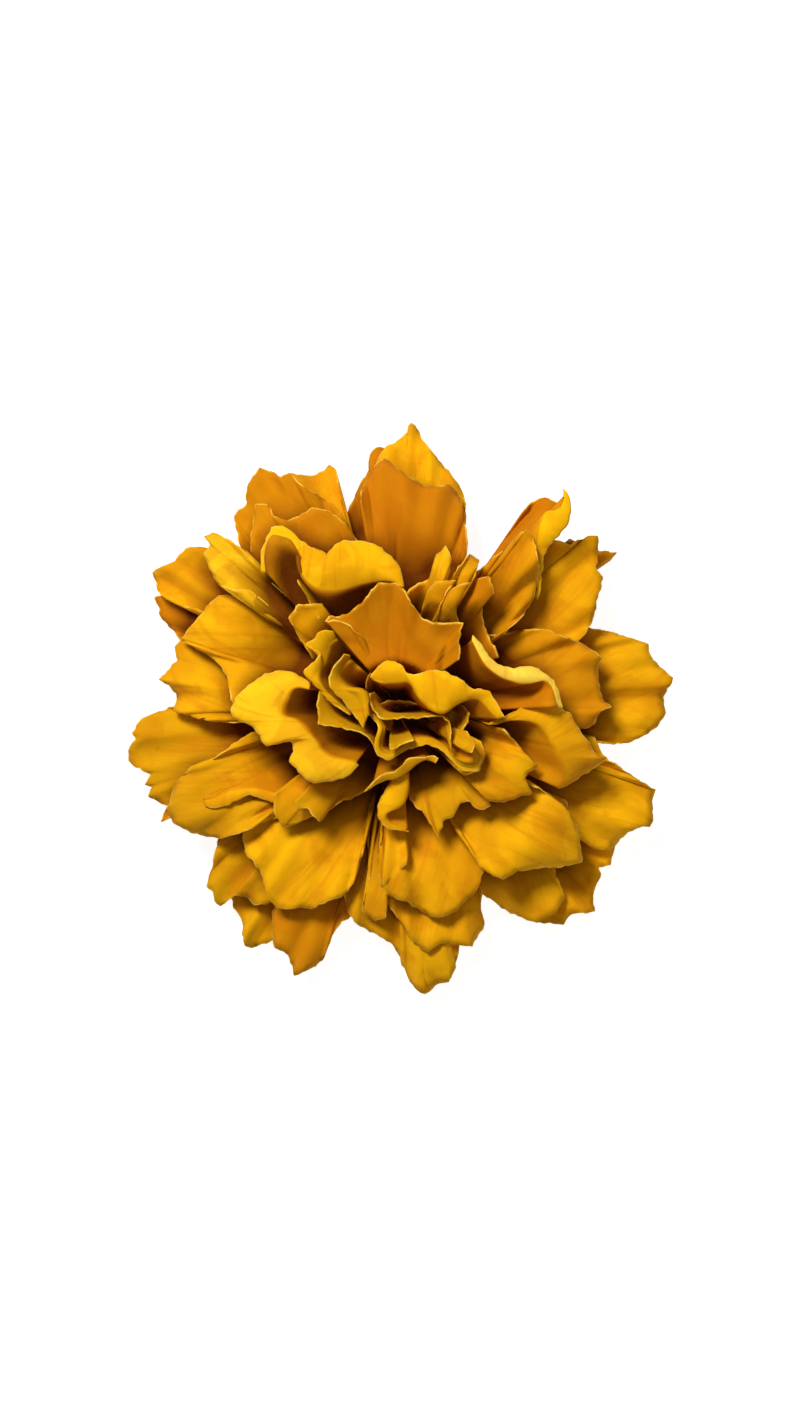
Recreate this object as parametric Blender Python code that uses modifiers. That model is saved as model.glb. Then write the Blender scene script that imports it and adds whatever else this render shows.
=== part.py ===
"""Fabric dahlia flower head: ten die-cut petal sheets threaded on the peg of a moulded hub.

Frame: +Z up, towards whoever looks into the flower, origin at the middle of the hub's flat back.
The flower lies on that back. Petal rims are given in millimetres from the peg's axis, X to the right
and Y to the top of the flower as it is looked down on.
"""

import math

import bmesh
import bpy
import numpy as np

MM = 0.001

BACK_DISC_RADIUS = 13.0
BACK_DISC_THICKNESS = 1.6
COLLAR_RADIUS = 9.5
COLLAR_TOP = 4.0
PEG_RADIUS = 1.1
PEG_HOLE_RADIUS = 1.45
PEG_SIDES = 20
CAP_RADIUS = 1.65
CAP_HEIGHT = 1.2
TOUCH_GAP = 0.35

FABRIC_THICKNESS = 0.6
RING_THICKNESS = 1.2
RING_SIDES = 20
FIRST_RING_RADIUS = 10.0
RING_STEP = 0.76
ROOT_SUNK = 0.75
ROOT_STAGGER = 0.5
WIDE_ROOT = 6.5
HIGH_CREST = 20.0
FINE_PETAL_ROWS = (0.0, 0.1, 0.4, 0.7, 1.0)
PLAIN_PETAL_ROWS = (0.0, 0.14, 0.57, 1.0)
LAYER_CLEARANCE = 0.95
LEAST_CLEARANCE = 0.88
MOST_SETTLING_STEPS = 8
CELL = 0.5
HALF_FIELD = 80.0
SAMPLES_PER_SIDE = 13
LEAST_LIP = 0.5
LIFT_ROUNDS = 30
RING_ZONE = 0.35
NOTHING_BELOW = -100.0


def petal(name, crest, root, rim):
    """One petal: crest = (share of its reach, height) where the climb from the ring ends and the lip
    starts, root = width at the ring, rim = the points of its edge."""
    return {"name": name, "crest": crest, "root": root, "rim": rim}


BACK_RING = [
    petal("sliver_top", (0.6, 11), 6, [
        (-12.3, 47.5, 9), (-10.8, 51.3, 9), (-8.8, 55.5, 9), (-6.8, 59.3, 9), (-6, 63.8, 9),
        (-4.8, 65, 9), (-3.5, 65.3, 9), (-2.3, 64.5, 9), (-0.8, 61.3, 9), (1.3, 51.3, 9)]),
    petal("tip_upper_right", (0.6, 10), 6, [
        (44, 42, 7), (51, 39, 7), (53.8, 38.8, 7), (56, 38.5, 7), (54.3, 36.8, 7), (50.8, 34.5, 7),
        (47, 27, 7)]),
    petal("lobe_lower_right", (0.6, 9), 7, [
        (53, -33, 8), (55.5, -35.8, 8), (54.3, -40.3, 8), (51.5, -41, 8), (52, -43.5, 7),
        (50.3, -46.3, 7), (50.5, -52.3, 6), (47.5, -52.5, 7), (44.3, -53, 7), (42.5, -55.5, 6),
        (36.3, -54.8, 7), (32, -48, 8)]),
    petal("lobe_lower_left", (0.6, 9), 6, [
        (-42, -40, 8), (-41.3, -48.8, 7), (-40.8, -51.3, 7), (-38.5, -55, 6), (-38.5, -58.8, 6),
        (-38, -61, 5), (-36.3, -61.3, 5), (-34.3, -60.8, 6), (-31, -59.8, 6), (-27, -52, 8)]),
    petal("tip_lower_left", (0.6, 8), 5, [
        (-52, -21, 7), (-58.3, -26.8, 6), (-59.3, -29.5, 5), (-55.8, -28, 6), (-48, -30, 7)]),
    petal("lobe_left", (0.6, 9), 6, [
        (-48, 33, 8), (-55, 29.5, 8), (-60.8, 27, 7), (-59.8, 24.8, 7), (-59.5, 22.8, 7),
        (-57.5, 20.5, 7), (-54, 16.3, 8), (-48, 12, 9)]),
]

OUTER_RING = [
    petal("lower_left_brown", (0.65, 11), 6, [
        (-31, -52, 10), (-30.5, -61.3, 8), (-27.5, -62.5, 8), (-26.3, -65, 7), (-25.5, -68.3, 6),
        (-21.3, -66.5, 8), (-19.5, -65.5, 8), (-16.8, -60.8, 9), (-15.8, -58, 9), (-14.5, -55.8, 10),
        (-11.3, -53.3, 10), (-9, -46, 11)]),
    petal("bottom", (0.65, 12), 7, [
        (-13, -47, 11), (-10.8, -53.8, 10), (-6.3, -57, 9), (-1.3, -59.8, 9), (1.3, -63.8, 8),
        (3.3, -69, 7), (5, -71.3, 7), (7.8, -73.3, 6), (10.8, -70.3, 8), (13.8, -69.8, 8),
        (14.5, -67.8, 9), (16, -62.5, 10), (17, -55, 11)]),
    petal("right", (0.65, 14), 9, [
        (45, 20, 12), (51.3, 19, 11), (57.5, 17.5, 10), (64, 15.3, 10), (64.3, 12.5, 10),
        (66.3, 10.3, 9), (68.3, 8.5, 9), (70, 6.8, 8), (69.3, 4.8, 9), (67.8, 2, 9), (68, -2.8, 9),
        (66.5, -4.8, 10), (61.3, -8.5, 10), (54.3, -9.8, 11), (46, -7.3, 12)]),
    petal("lower_right_front", (0.65, 13), 6, [
        (19, -41, 12), (21.3, -47, 11), (23.8, -48.8, 10), (29.3, -52.5, 9), (36.3, -54.8, 9),
        (40.8, -51.8, 10), (42.8, -48.3, 11), (40.8, -43.8, 12), (40, -37, 13)]),
    petal("left_pale_low", (0.65, 13), 6, [
        (-44, -28, 13), (-44.5, -33.8, 12), (-46, -40, 11), (-47.3, -45.8, 9), (-46.3, -47, 9),
        (-45.5, -49.3, 9), (-44, -50.8, 9), (-41.8, -49, 10), (-39.8, -48, 11), (-38, -48, 11),
        (-35.5, -50.5, 10), (-31.8, -49.8, 11), (-26, -44, 13)]),
    petal("left", (0.65, 13), 8, [
        (-50, 2, 12), (-58.8, -1.5, 11), (-63.8, -3.5, 10), (-66.3, -7, 10), (-65.5, -8.3, 10),
        (-67.3, -11.5, 9), (-67.5, -13.3, 9), (-66.8, -14.8, 9), (-63, -16.8, 9), (-62, -17.5, 9),
        (-63, -20, 8), (-61.5, -20.8, 8), (-62.5, -23, 8), (-57, -25.5, 9), (-48, -24, 11)]),
    petal("top_left_back", (0.65, 14), 6, [
        (-33, 50, 12), (-26.8, 58.5, 11), (-20.8, 57.8, 11), (-18.8, 58.8, 10), (-16.5, 60.5, 10),
        (-15, 59.3, 11), (-14.3, 56.3, 12), (-13.3, 51.3, 12), (-11.8, 44, 13)]),
]

THIRD_RING = [
    petal("upper_right", (0.7, 21), 8, [
        (33, 40, 20), (39.5, 41.5, 19), (44.3, 39.8, 20), (45.8, 41.3, 19), (47.8, 42, 18),
        (51, 42.5, 17), (51, 38.8, 18), (50.5, 34.3, 19), (52, 32, 18), (51.3, 28.8, 19),
        (50.3, 25, 19), (49, 20, 20), (44, 14, 20)]),
    petal("right_low", (0.7, 17), 8, [
        (50, -8, 17), (52.5, -12.8, 16), (57.5, -16.3, 15), (61.3, -19, 14), (65.5, -21.3, 12),
        (64.8, -23.8, 13), (64.8, -26.8, 12), (65, -29.3, 11), (63.8, -30.5, 12), (61.3, -30.8, 13),
        (58.8, -32, 13), (56.8, -33.5, 13), (55.5, -35.8, 12), (52, -36.5, 13), (48.8, -35.3, 14),
        (45.5, -30.8, 15), (43, -24, 17)]),
    petal("bottom_under", (0.7, 15), 7, [
        (-4, -40, 14), (-3.8, -46.3, 13), (0, -52.5, 12), (3.3, -57.5, 11), (6.8, -61.3, 10),
        (8.3, -62, 10), (11.3, -60, 11), (15.8, -60.3, 11), (19.3, -60.8, 11), (20.8, -58, 11),
        (22.8, -55.5, 10), (21.5, -51.3, 12), (22, -47, 13)]),
    petal("gap_strip", (0.7, 13), 3, [
        (-6.8, -34, 14), (-6.8, -46, 13), (-8.5, -51.5, 12), (-5, -54, 12), (-2.3, -53.5, 12),
        (-2.5, -48, 13), (-4, -36, 14)]),
    petal("left_upper", (0.7, 16), 6, [
        (-49, 24, 14), (-55, 25.5, 13), (-59.5, 28.3, 12), (-60.3, 30.8, 12), (-61.3, 33.5, 11),
        (-58.8, 34.8, 13), (-55.5, 36.3, 14), (-53.8, 38.3, 14), (-52.5, 39.3, 14), (-50, 39.8, 15),
        (-45, 39, 16)]),
    petal("top_left_folded", (0.7, 18), 7, [
        (-36, 34, 17), (-38.8, 40, 17), (-39.8, 43.8, 17), (-40.5, 47.5, 15), (-38.8, 49.3, 17),
        (-37.5, 50.5, 18), (-37.3, 53.8, 17), (-35.5, 58, 15), (-34, 59.5, 14), (-31.8, 59, 15),
        (-28.8, 57.5, 17), (-26.3, 58, 17), (-23.8, 55.5, 18), (-20, 53, 18), (-16.3, 50.8, 18),
        (-12.5, 46, 18)]),
    petal("top_bright", (0.7, 18), 8, [
        (-8, 52, 15), (-5, 60, 15), (-2.3, 64.8, 15), (0.8, 66.5, 15), (3, 68.8, 14), (3.3, 70.3, 13),
        (4, 71, 13), (5, 70.3, 13), (6.3, 68, 14), (9.3, 63.5, 15), (13.3, 58.8, 16),
        (16.8, 53.8, 17), (17.8, 48.8, 18), (17, 40, 19)]),
]

FOURTH_RING = [
    petal("left_back", (0.72, 18), 6, [
        (-50, 18, 17), (-53.8, 16.3, 16), (-55.5, 14.5, 15), (-54.8, 11.3, 15), (-57.3, 8.5, 14),
        (-59.3, 6.3, 13), (-56.8, 5, 14), (-54.8, 1.3, 14), (-55.8, -1.5, 14), (-51.3, -2.8, 15),
        (-47.5, -3.8, 15), (-40.5, -4.5, 17)]),
    petal("lower_left_big", (0.72, 21), 8, [
        (-38.3, -28, 21), (-38.3, -32, 20), (-38, -36.3, 19), (-35.8, -38.8, 19), (-34.3, -40.3, 18),
        (-32.8, -45, 17), (-31.5, -49.5, 16), (-28, -51.5, 16), (-23.8, -51, 17), (-20.8, -51, 17),
        (-16.3, -48.8, 17), (-12, -46.8, 17), (-9.8, -42.5, 18), (-8, -35.5, 19), (-7.5, -26, 20)]),
    petal("bottom_shaded", (0.72, 17), 4, [
        (-3.8, -28, 19), (-3.3, -33, 18), (-4.3, -38.8, 17), (-3.5, -45, 16), (1, -46, 16),
        (4, -38, 17)]),
    petal("bottom_bright", (0.72, 21), 7, [
        (2, -28, 21), (3.3, -39.3, 20), (0.8, -43, 19), (-3, -45.3, 17), (-0.5, -48.3, 18),
        (4, -49.8, 18), (8.8, -52.5, 17), (11.3, -53.3, 17), (13.8, -52.5, 17), (16.3, -51, 17),
        (18.8, -48, 18), (20.8, -46.8, 17), (22.3, -41.3, 18), (20, -34, 20)]),
    petal("top_left_front", (0.72, 22), 6, [
        (-33, 32, 22), (-35.8, 37.5, 21), (-35.5, 46.3, 20), (-34.8, 50.3, 19), (-31.8, 50.3, 20),
        (-30.8, 47.5, 22), (-27.8, 46.3, 23), (-24, 47.3, 22), (-20.8, 49.3, 21), (-16.3, 48.3, 22),
        (-12.5, 45.3, 22), (-9.3, 41, 23)]),
    petal("top_front", (0.72, 24), 8, [
        (-7, 34, 24), (-5.5, 40, 24), (-7.3, 45, 23), (-8.5, 51.3, 22), (-8.3, 53.8, 21),
        (-7.3, 56.3, 20), (-4.5, 60.5, 18), (-2.8, 62, 17), (-0.3, 60, 19), (8.3, 54.8, 21),
        (11.3, 54.8, 21), (13.8, 55, 20), (15, 54, 20), (16.3, 51.8, 21), (17.5, 45, 22),
        (18, 38, 23), (15.3, 32, 25)]),
    petal("curled_upright", (0.72, 22), 5, [
        (26, 34, 24), (29.3, 40, 24), (30, 43.8, 24), (31.3, 46.8, 24), (33, 49.3, 24),
        (37, 51.8, 25), (41.8, 53.8, 28), (43.8, 51.3, 30), (43.5, 48, 31), (39.5, 40.8, 31),
        (36.8, 37.5, 31), (36.5, 33.8, 30), (36, 27.5, 28)]),
]

FIFTH_RING = [
    petal("lower_left_wide", (0.75, 24), 8, [
        (-36, -7, 24), (-40.8, -10, 23), (-45, -13.3, 21), (-50, -15, 20), (-53.8, -18.3, 18),
        (-55.5, -20.8, 17), (-56.3, -23.8, 17), (-57.3, -25.8, 16), (-55.5, -29.5, 17),
        (-51.3, -31.8, 18), (-44.5, -33.3, 20), (-36.3, -31, 22), (-33.3, -29.5, 23), (-24, -27, 24)]),
    petal("left_bright", (0.75, 26), 8, [
        (-38, -3, 24), (-40.5, 0.5, 24), (-42, 7, 24), (-44.3, 10.5, 23), (-48, 13.3, 22),
        (-53.8, 16.3, 19), (-48.8, 22.3, 22), (-45.8, 25.8, 23), (-44, 27.3, 23), (-41.8, 27.3, 24),
        (-38.8, 26.8, 25), (-37, 31, 24), (-35.5, 27, 26), (-29, 24, 27)]),
    petal("right_front", (0.75, 26), 8, [
        (22, 18, 28), (26.3, 17.5, 27), (32.5, 18.8, 26), (36.3, 18.8, 26), (42.5, 17, 25),
        (46.3, 15.5, 24), (51.5, 12, 22), (51.3, 9.3, 22), (50.8, 7.5, 22), (51.3, 4.3, 21),
        (52, 1.3, 21), (54.3, -0.8, 19), (50.8, -2.5, 21), (48.8, -4.5, 22), (46.3, -6, 22),
        (40, -8, 24)]),
    petal("right_inner_blade", (0.75, 28), 6, [
        (18, 28, 29), (20, 32.5, 28), (23.8, 33.8, 28), (26.3, 37, 27), (28.3, 38.5, 26),
        (33, 36, 26), (36, 30, 25), (37, 25, 26), (32, 18, 28)]),
    petal("lower_right_bright", (0.75, 26), 8, [
        (31, -19, 27), (34.5, -20.3, 26), (39.3, -23, 25), (43.3, -26.8, 24), (45, -29.8, 23),
        (46, -32.5, 22), (46.5, -35.8, 21), (46.8, -39.5, 19), (42.5, -40.3, 20), (36.3, -40.8, 21),
        (31.3, -41.5, 21), (27, -43.3, 19), (23, -41.8, 20), (19.5, -37.5, 22), (16, -32.5, 24),
        (14.5, -28.8, 25), (15, -25, 27)]),
    petal("lower_left_leaflet", (0.75, 25), 4, [
        (-30, -22, 26), (-30, -26.8, 25), (-28, -30.5, 24), (-23.8, -29.3, 25), (-20.5, -27.5, 25),
        (-18, -22, 26)]),
]

SIXTH_RING = [
    petal("pale_upper_left", (0.78, 32), 5, [
        (-33, 26, 31), (-36.8, 28.8, 30), (-38.8, 28.5, 30), (-42.3, 29.5, 29), (-43.8, 29.8, 29),
        (-46.5, 35, 27), (-47.8, 37.5, 26), (-45.8, 40, 27), (-47.5, 42, 26), (-45.5, 43, 27),
        (-40.8, 40.8, 30), (-35.8, 36.8, 33), (-33.3, 33.3, 34), (-26.3, 26.3, 34)]),
    petal("right_drooping", (0.78, 32), 7, [
        (22, -2, 33), (25.5, -3.2, 33), (32.5, -0.8, 33), (38.8, -0.5, 32), (43.8, -2.3, 30),
        (44.8, -4.3, 29), (45.8, -6.8, 28), (47.5, -9.3, 26), (52, -13, 22), (50.3, -14.5, 23),
        (48.8, -16.3, 24), (47, -18.3, 24), (42, -19.8, 26), (34, -17, 30)]),
    petal("lower_left_inner", (0.78, 29), 5, [
        (-25, -20, 29), (-24.5, -25.8, 28), (-21.5, -25.8, 29), (-19, -29, 27), (-16.3, -27, 28),
        (-13.3, -24.3, 29), (-9.3, -22.8, 29), (-6, -20.5, 30), (-2, -17, 30)]),
    petal("bottom_inner", (0.78, 30), 6, [
        (3.3, -16.8, 31), (3.5, -24.5, 30), (7.3, -28.3, 28), (10.5, -32.8, 26), (11.8, -28.8, 28),
        (15, -27.5, 29), (17, -24.3, 30), (18.3, -24, 30), (21.8, -26.3, 28), (23.5, -25, 28),
        (22.5, -19.5, 31), (25, -18.8, 30), (24.8, -14, 31)]),
    petal("upper_left_leaf", (0.78, 32), 4, [
        (-24, 24, 33), (-27, 31, 33), (-28.5, 38, 31), (-27, 39.5, 31), (-25.5, 34, 32), (-21, 25, 33)]),
]

SEVENTH_RING = [
    petal("bottom_fold", (0.8, 31), 3, [
        (-1, -17, 32), (-4.3, -25, 30), (-3.5, -28.8, 29), (-0.8, -31, 28), (3.3, -31.5, 28),
        (4, -24, 30), (4, -17, 32)]),
    petal("right_lower_inner", (0.8, 32), 5, [
        (27, -6, 34), (31.3, -10.8, 33), (33.3, -13, 32), (35.3, -15, 31), (32.3, -18, 31),
        (34, -22, 29), (31.3, -22.8, 30), (27, -24, 30), (23.3, -24, 30), (19, -17, 32)]),
    petal("left_curl", (0.8, 34), 4, [
        (-21, 13, 34), (-25.3, 18.8, 34), (-26.3, 21.5, 33), (-24.3, 24.5, 33), (-20, 24.8, 34),
        (-16, 24, 35)]),
    petal("top_s_curve", (0.8, 38), 8, [
        (-29, 26, 36), (-34.5, 33, 34), (-33.3, 38.8, 33), (-32.3, 41.3, 34), (-31, 43.3, 35),
        (-27.5, 44.3, 36), (-23.8, 41.3, 36), (-19.3, 38.3, 35), (-17, 37.3, 34), (-14.5, 40, 34),
        (-9.5, 41, 34), (-6.8, 40.3, 34), (-3.8, 38.8, 34), (0.8, 35, 35), (3, 27, 36)]),
    petal("upper_right_brown", (0.8, 35), 4, [
        (15, 28, 35), (18.8, 31.3, 35), (23.3, 31.8, 34), (24.5, 28, 34), (22.3, 25, 35),
        (21.8, 22.5, 35), (23.3, 17.5, 35), (24, 12.5, 36)]),
    petal("top_small", (0.8, 34), 3, [
        (13, 30, 34), (15.3, 33.3, 33), (18.5, 37.5, 32), (20.8, 35.8, 32), (20, 32, 33)]),
    petal("right_rolled_rim", (0.8, 34), 7, [
        (18, 18, 37), (22.3, 13.8, 38), (25.5, 10.3, 38), (27.5, 9.3, 38), (33, 9.3, 37),
        (38, 7.3, 35), (40.5, 3.5, 33), (41.8, -0.8, 31), (34, -2, 34), (26, -4, 36)]),
]

EIGHTH_RING = [
    petal("left_s_curve", (0.82, 39), 7, [
        (-20, 8, 39), (-26.3, 8.3, 39), (-28.5, 8.8, 39), (-33.3, 7.3, 38), (-38.3, 3.3, 36),
        (-40.8, -1.8, 34), (-38.8, -4.3, 35), (-35, -5.8, 36), (-32.3, -10, 35), (-28, -9, 37),
        (-25, -9.8, 37), (-26, -14, 35), (-23, -17.5, 34), (-18.8, -19.3, 33), (-11.3, -17.5, 34),
        (-9, -14.3, 36)]),
    petal("lower_inner_right", (0.82, 37), 5, [
        (9.3, -10.5, 38), (13.3, -13, 37), (15.5, -16.3, 36), (17, -17.3, 35), (20.8, -16.3, 36),
        (22.3, -12.5, 37), (21.3, -9, 38)]),
    petal("lower_inner_left", (0.82, 36), 4, [
        (-8.5, -13, 37), (-8, -18, 35), (-6.3, -20.5, 34), (-1, -18.5, 35), (4.3, -15.8, 36),
        (8.8, -14.5, 36), (11, -12, 37)]),
    petal("top_finger_left", (0.82, 38), 3, [
        (2.5, 27, 39), (6.3, 30.5, 39), (8.8, 31.8, 38), (10.3, 38, 36), (12.8, 37.5, 36),
        (13.5, 35, 37), (12.5, 30.8, 38), (10, 24, 39)]),
    petal("top_finger_right", (0.82, 38), 3, [
        (11, 21, 40), (12.8, 26.8, 39), (14.3, 28.8, 38), (18.5, 30, 37), (17.5, 25, 39),
        (16.5, 19, 40)]),
]

NINTH_RING = [
    petal("left_low_ruffle", (0.88, 37), 4, [
        (-19, 0, 37), (-20.5, -1.8, 37), (-20, -6.3, 36), (-16.3, -7.8, 37), (-11.3, -8.3, 37),
        (-9.5, -10.8, 36), (-8.8, -15, 35), (-5, -16.8, 35), (-2, -13, 37)]),
    petal("left_ruffle", (0.88, 39), 5, [
        (-12, 18, 40), (-16.3, 18, 40), (-18.8, 18.5, 39), (-19.8, 16.3, 39), (-22.5, 15, 38),
        (-18.8, 13.3, 39), (-22, 10, 38), (-22.5, 8.3, 38), (-19.8, 5, 39), (-17.5, 2, 39),
        (-13.8, -2, 40), (-11.3, -3, 40)]),
    petal("lower_ruffle", (0.88, 38), 4, [
        (-5.3, -9.3, 39), (-4, -13, 38), (-2, -13.8, 38), (1.8, -11.8, 39), (6.5, -9.8, 39),
        (9, -8, 40)]),
    petal("orange_spoon", (0.88, 41), 6, [
        (-4, 10, 42), (-9.3, 17.5, 42), (-13.8, 20, 41), (-17.3, 20.5, 40), (-15.5, 21.8, 40),
        (-11.3, 22.5, 40), (-7.3, 26.3, 39), (-3.8, 29.8, 38), (-0.3, 30.5, 38), (3.3, 27.3, 39),
        (5.8, 23.3, 41), (9.5, 20.5, 42), (12, 20, 42), (15.8, 20.8, 41), (16.8, 19.8, 41),
        (15.8, 15, 42), (12, 11, 42)]),
]

HEART_RING = [
    petal("right_ruffle", (0.86, 40), 4, [
        (11, -2, 42), (13.8, -0.8, 42), (17, -2, 41), (18.8, -3.8, 41), (17.8, -6.3, 41),
        (19.8, -9.3, 40), (17.5, -11.8, 40), (13, -9, 41)]),
    petal("lower_heart_ruffle", (0.86, 39), 4, [
        (-6.3, -1, 41), (-6, -6, 40), (-3.3, -8.8, 40), (1.3, -8.3, 40), (4, -7, 40), (9, -5.5, 41),
        (12, -6, 41), (13, -3, 41)]),
    petal("left_heart_ruffle", (0.86, 39), 4, [
        (-9, 16, 41), (-12.8, 12.5, 40), (-15, 9.3, 39), (-16.3, 5, 39), (-13.8, 1.3, 40),
        (-9.3, -3.8, 40), (-6, -8.3, 40)]),
    petal("wavy_band", (0.86, 42), 6.2, [
        (-4.5, 5, 43), (-6.3, 7.5, 43), (-4.3, 8.8, 43), (-1.3, 10.8, 42), (1.8, 9.5, 43),
        (3.8, 7.3, 44), (9.3, 8.5, 43), (14.3, 7.3, 42), (19, 3.8, 41), (23.3, 3, 39),
        (26.3, -0.8, 37), (24, -3.5, 38), (16, -2.5, 41)]),
    petal("centre_curl_upper", (0.86, 38), 2.5, [
        (-5, 3.5, 40), (-2.5, 2.5, 40), (0, 3.5, 40), (3, 1.8, 40), (6, 3, 40), (8.5, 1.5, 40)]),
    petal("centre_curl_lower", (0.86, 37), 2.5, [
        (-4, -1.5, 38), (-1.5, -0.2, 39), (1.5, -1.2, 39), (5, -0.2, 39), (8, -2, 38)]),
]

SHEETS = [
    BACK_RING, OUTER_RING, THIRD_RING, FOURTH_RING, FIFTH_RING, SIXTH_RING, SEVENTH_RING, EIGHTH_RING,
    NINTH_RING, HEART_RING,
]

PETAL_YELLOW = (0.80, 0.50, 0.02, 1.0)
HUB_GREEN = (0.20, 0.30, 0.08, 1.0)


def collection_named(name):
    made = bpy.data.collections.new(name)
    bpy.context.scene.collection.children.link(made)
    return made


def finish_named(name, colour, roughness):
    material = bpy.data.materials.new(name)
    material.use_nodes = True
    shader = material.node_tree.nodes["Principled BSDF"]
    shader.inputs["Base Color"].default_value = colour
    shader.inputs["Roughness"].default_value = roughness
    shader.inputs["Metallic"].default_value = 0.0
    return material


def mesh_object(name, points, faces, into):
    """A new mesh object from points in millimetres."""
    mesh = bpy.data.meshes.new(name)
    mesh.from_pydata([tuple(p) for p in np.asarray(points) * MM], [], faces)
    mesh.update()
    made = bpy.data.objects.new(name, mesh)
    into.objects.link(made)
    return made


def petal_grid(ring_radius, root_z, spec):
    """Rows of points from root to rim, along veins that are straight in plan. With t = the distance
    out over the distance of the crest, a vein climbs as 3 t^2 - 2 t^3; beyond the crest it goes to
    the rim's own height with the square of the distance."""
    rim = np.array(spec["rim"], float)
    steps = np.linalg.norm(np.diff(rim[:, :2], axis=0), axis=1)
    along = np.concatenate([[0.0], np.cumsum(steps)]) / steps.sum()
    middle = rim[:, :2].mean(axis=0)
    facing = math.atan2(middle[1], middle[0])
    root_radius = ring_radius - ROOT_SUNK
    first, last = rim[0, :2], rim[-1, :2]
    turn = 1.0 if first[0] * last[1] - first[1] * last[0] > 0 else -1.0
    angles = facing + turn * (along - 0.5) * spec["root"] / root_radius
    root = root_radius * np.column_stack([np.cos(angles), np.sin(angles)])
    crest_at, crest_z = spec["crest"]
    fine = spec["root"] >= WIDE_ROOT and crest_z >= HIGH_CREST
    u = np.array(FINE_PETAL_ROWS if fine else PLAIN_PETAL_ROWS)[:, None]
    plan = root[None] + (rim[None, :, :2] - root[None]) * u[:, :, None]
    reach = np.linalg.norm(rim[:, :2] - root, axis=1)[None]
    crest_reach = crest_at * reach.max()
    lip = np.maximum(reach - crest_reach, LEAST_LIP * (reach.max() - crest_reach))
    rise = np.clip(u * reach / crest_reach, 0.0, 1.0)
    beyond = np.maximum(u * reach - crest_reach, 0.0) / lip
    height = root_z + (crest_z - root_z) * rise * rise * (3.0 - 2.0 * rise)
    height = height + (rim[None, :, 2] - crest_z) * beyond * beyond
    return np.concatenate([plan, height[:, :, None]], axis=2)


def split_samples(grid, per_side=SAMPLES_PER_SIDE):
    """Points spread over the two triangles of every cell of a grid."""
    s, t = np.meshgrid(np.linspace(0, 1, per_side), np.linspace(0, 1, per_side), indexing="ij")
    s, t = s[None, None, :, :, None], t[None, None, :, :, None]
    p00, p10 = grid[:-1, :-1, None, None], grid[1:, :-1, None, None]
    p01, p11 = grid[:-1, 1:, None, None], grid[1:, 1:, None, None]
    near = p00 + s * (p10 - p00) + t * (p01 - p00)
    far = p11 + (1 - s) * (p01 - p11) + (1 - t) * (p10 - p11)
    return np.where(s + t < 1.0, near, far)


def cell_of(points):
    index = ((points[..., :2] + HALF_FIELD) / CELL).astype(int)
    return index[..., 0], index[..., 1]


def clear_height(field, distance):
    """The lowest height over each cell that keeps a distance from the field, as of a ball rolled on it."""
    cells = int(math.ceil(distance / CELL))
    wide = np.pad(field, cells, constant_values=NOTHING_BELOW)
    out = field + distance
    for dx in range(-cells, cells + 1):
        for dy in range(-cells, cells + 1):
            aside = CELL * math.hypot(max(abs(dx) - 0.5, 0.0), max(abs(dy) - 0.5, 0.0))
            if aside < distance:
                part = wide[cells + dx:cells + dx + len(field), cells + dy:cells + dy + len(field)]
                out = np.maximum(out, part + math.sqrt(distance * distance - aside * aside))
    return out


def corner_shares(per_side=SAMPLES_PER_SIDE):
    """How far each corner of a cell carries each of its samples, on the cell's two triangles."""
    s, t = np.meshgrid(np.linspace(0, 1, per_side), np.linspace(0, 1, per_side), indexing="ij")
    near = s + t < 1.0
    shares = [[np.where(near, 1 - s - t, 0.0), np.where(near, t, 1 - s)],
              [np.where(near, s, 1 - t), np.where(near, 0.0, s + t - 1)]]
    return np.array(shares)


def lay_on(grid, sheets_below, petals_below):
    """Lifts a petal over the sheets under it and, away from the ring, over its neighbours. Each
    round raises the corners of every cell by what its worst sample lacks, by their share in it."""
    samples = split_samples(grid)
    over_sheets = clear_height(sheets_below, LAYER_CLEARANCE)[cell_of(samples)] - samples[..., 2]
    over_petals = clear_height(petals_below, LAYER_CLEARANCE)[cell_of(samples)] - samples[..., 2]
    row = np.arange(len(grid) - 1)[:, None] + np.linspace(0, 1, SAMPLES_PER_SIDE)[None]
    away = np.clip((row / (len(grid) - 1) - RING_ZONE) / RING_ZONE, 0.0, 1.0)[:, None, :, None]
    need = np.maximum(over_sheets, np.where(away > 0, over_petals * away, NOTHING_BELOW))
    need[0, :, :SAMPLES_PER_SIDE // 2] = NOTHING_BELOW
    shares = corner_shares()
    weight = (shares ** 2).sum(axis=(0, 1))
    lift = np.zeros(grid.shape[:2])
    corners = [(0, 0), (0, 1), (1, 0), (1, 1)]
    windows = {(a, b): (slice(a, a - 1 or None), slice(b, b - 1 or None)) for a, b in corners}
    for _ in range(LIFT_ROUNDS):
        held = sum(lift[windows[c]][:, :, None, None] * shares[c] for c in corners)
        short = np.maximum(need - held, 0.0)
        step = np.zeros_like(lift)
        for c in corners:
            push = (short * shares[c] / weight).max(axis=(2, 3))
            step[windows[c]] = np.maximum(step[windows[c]], push)
        step[0] = 0.0
        lift += step
        if short.max() < 0.01:
            break
    out = grid.copy()
    out[..., 2] += lift
    return out


def root_shortfall(grid, below):
    """How much too near a petal's first row comes to the sheets below."""
    samples = split_samples(grid[:2])
    return (clear_height(below, LEAST_CLEARANCE)[cell_of(samples)] - samples[..., 2]).max()


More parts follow.
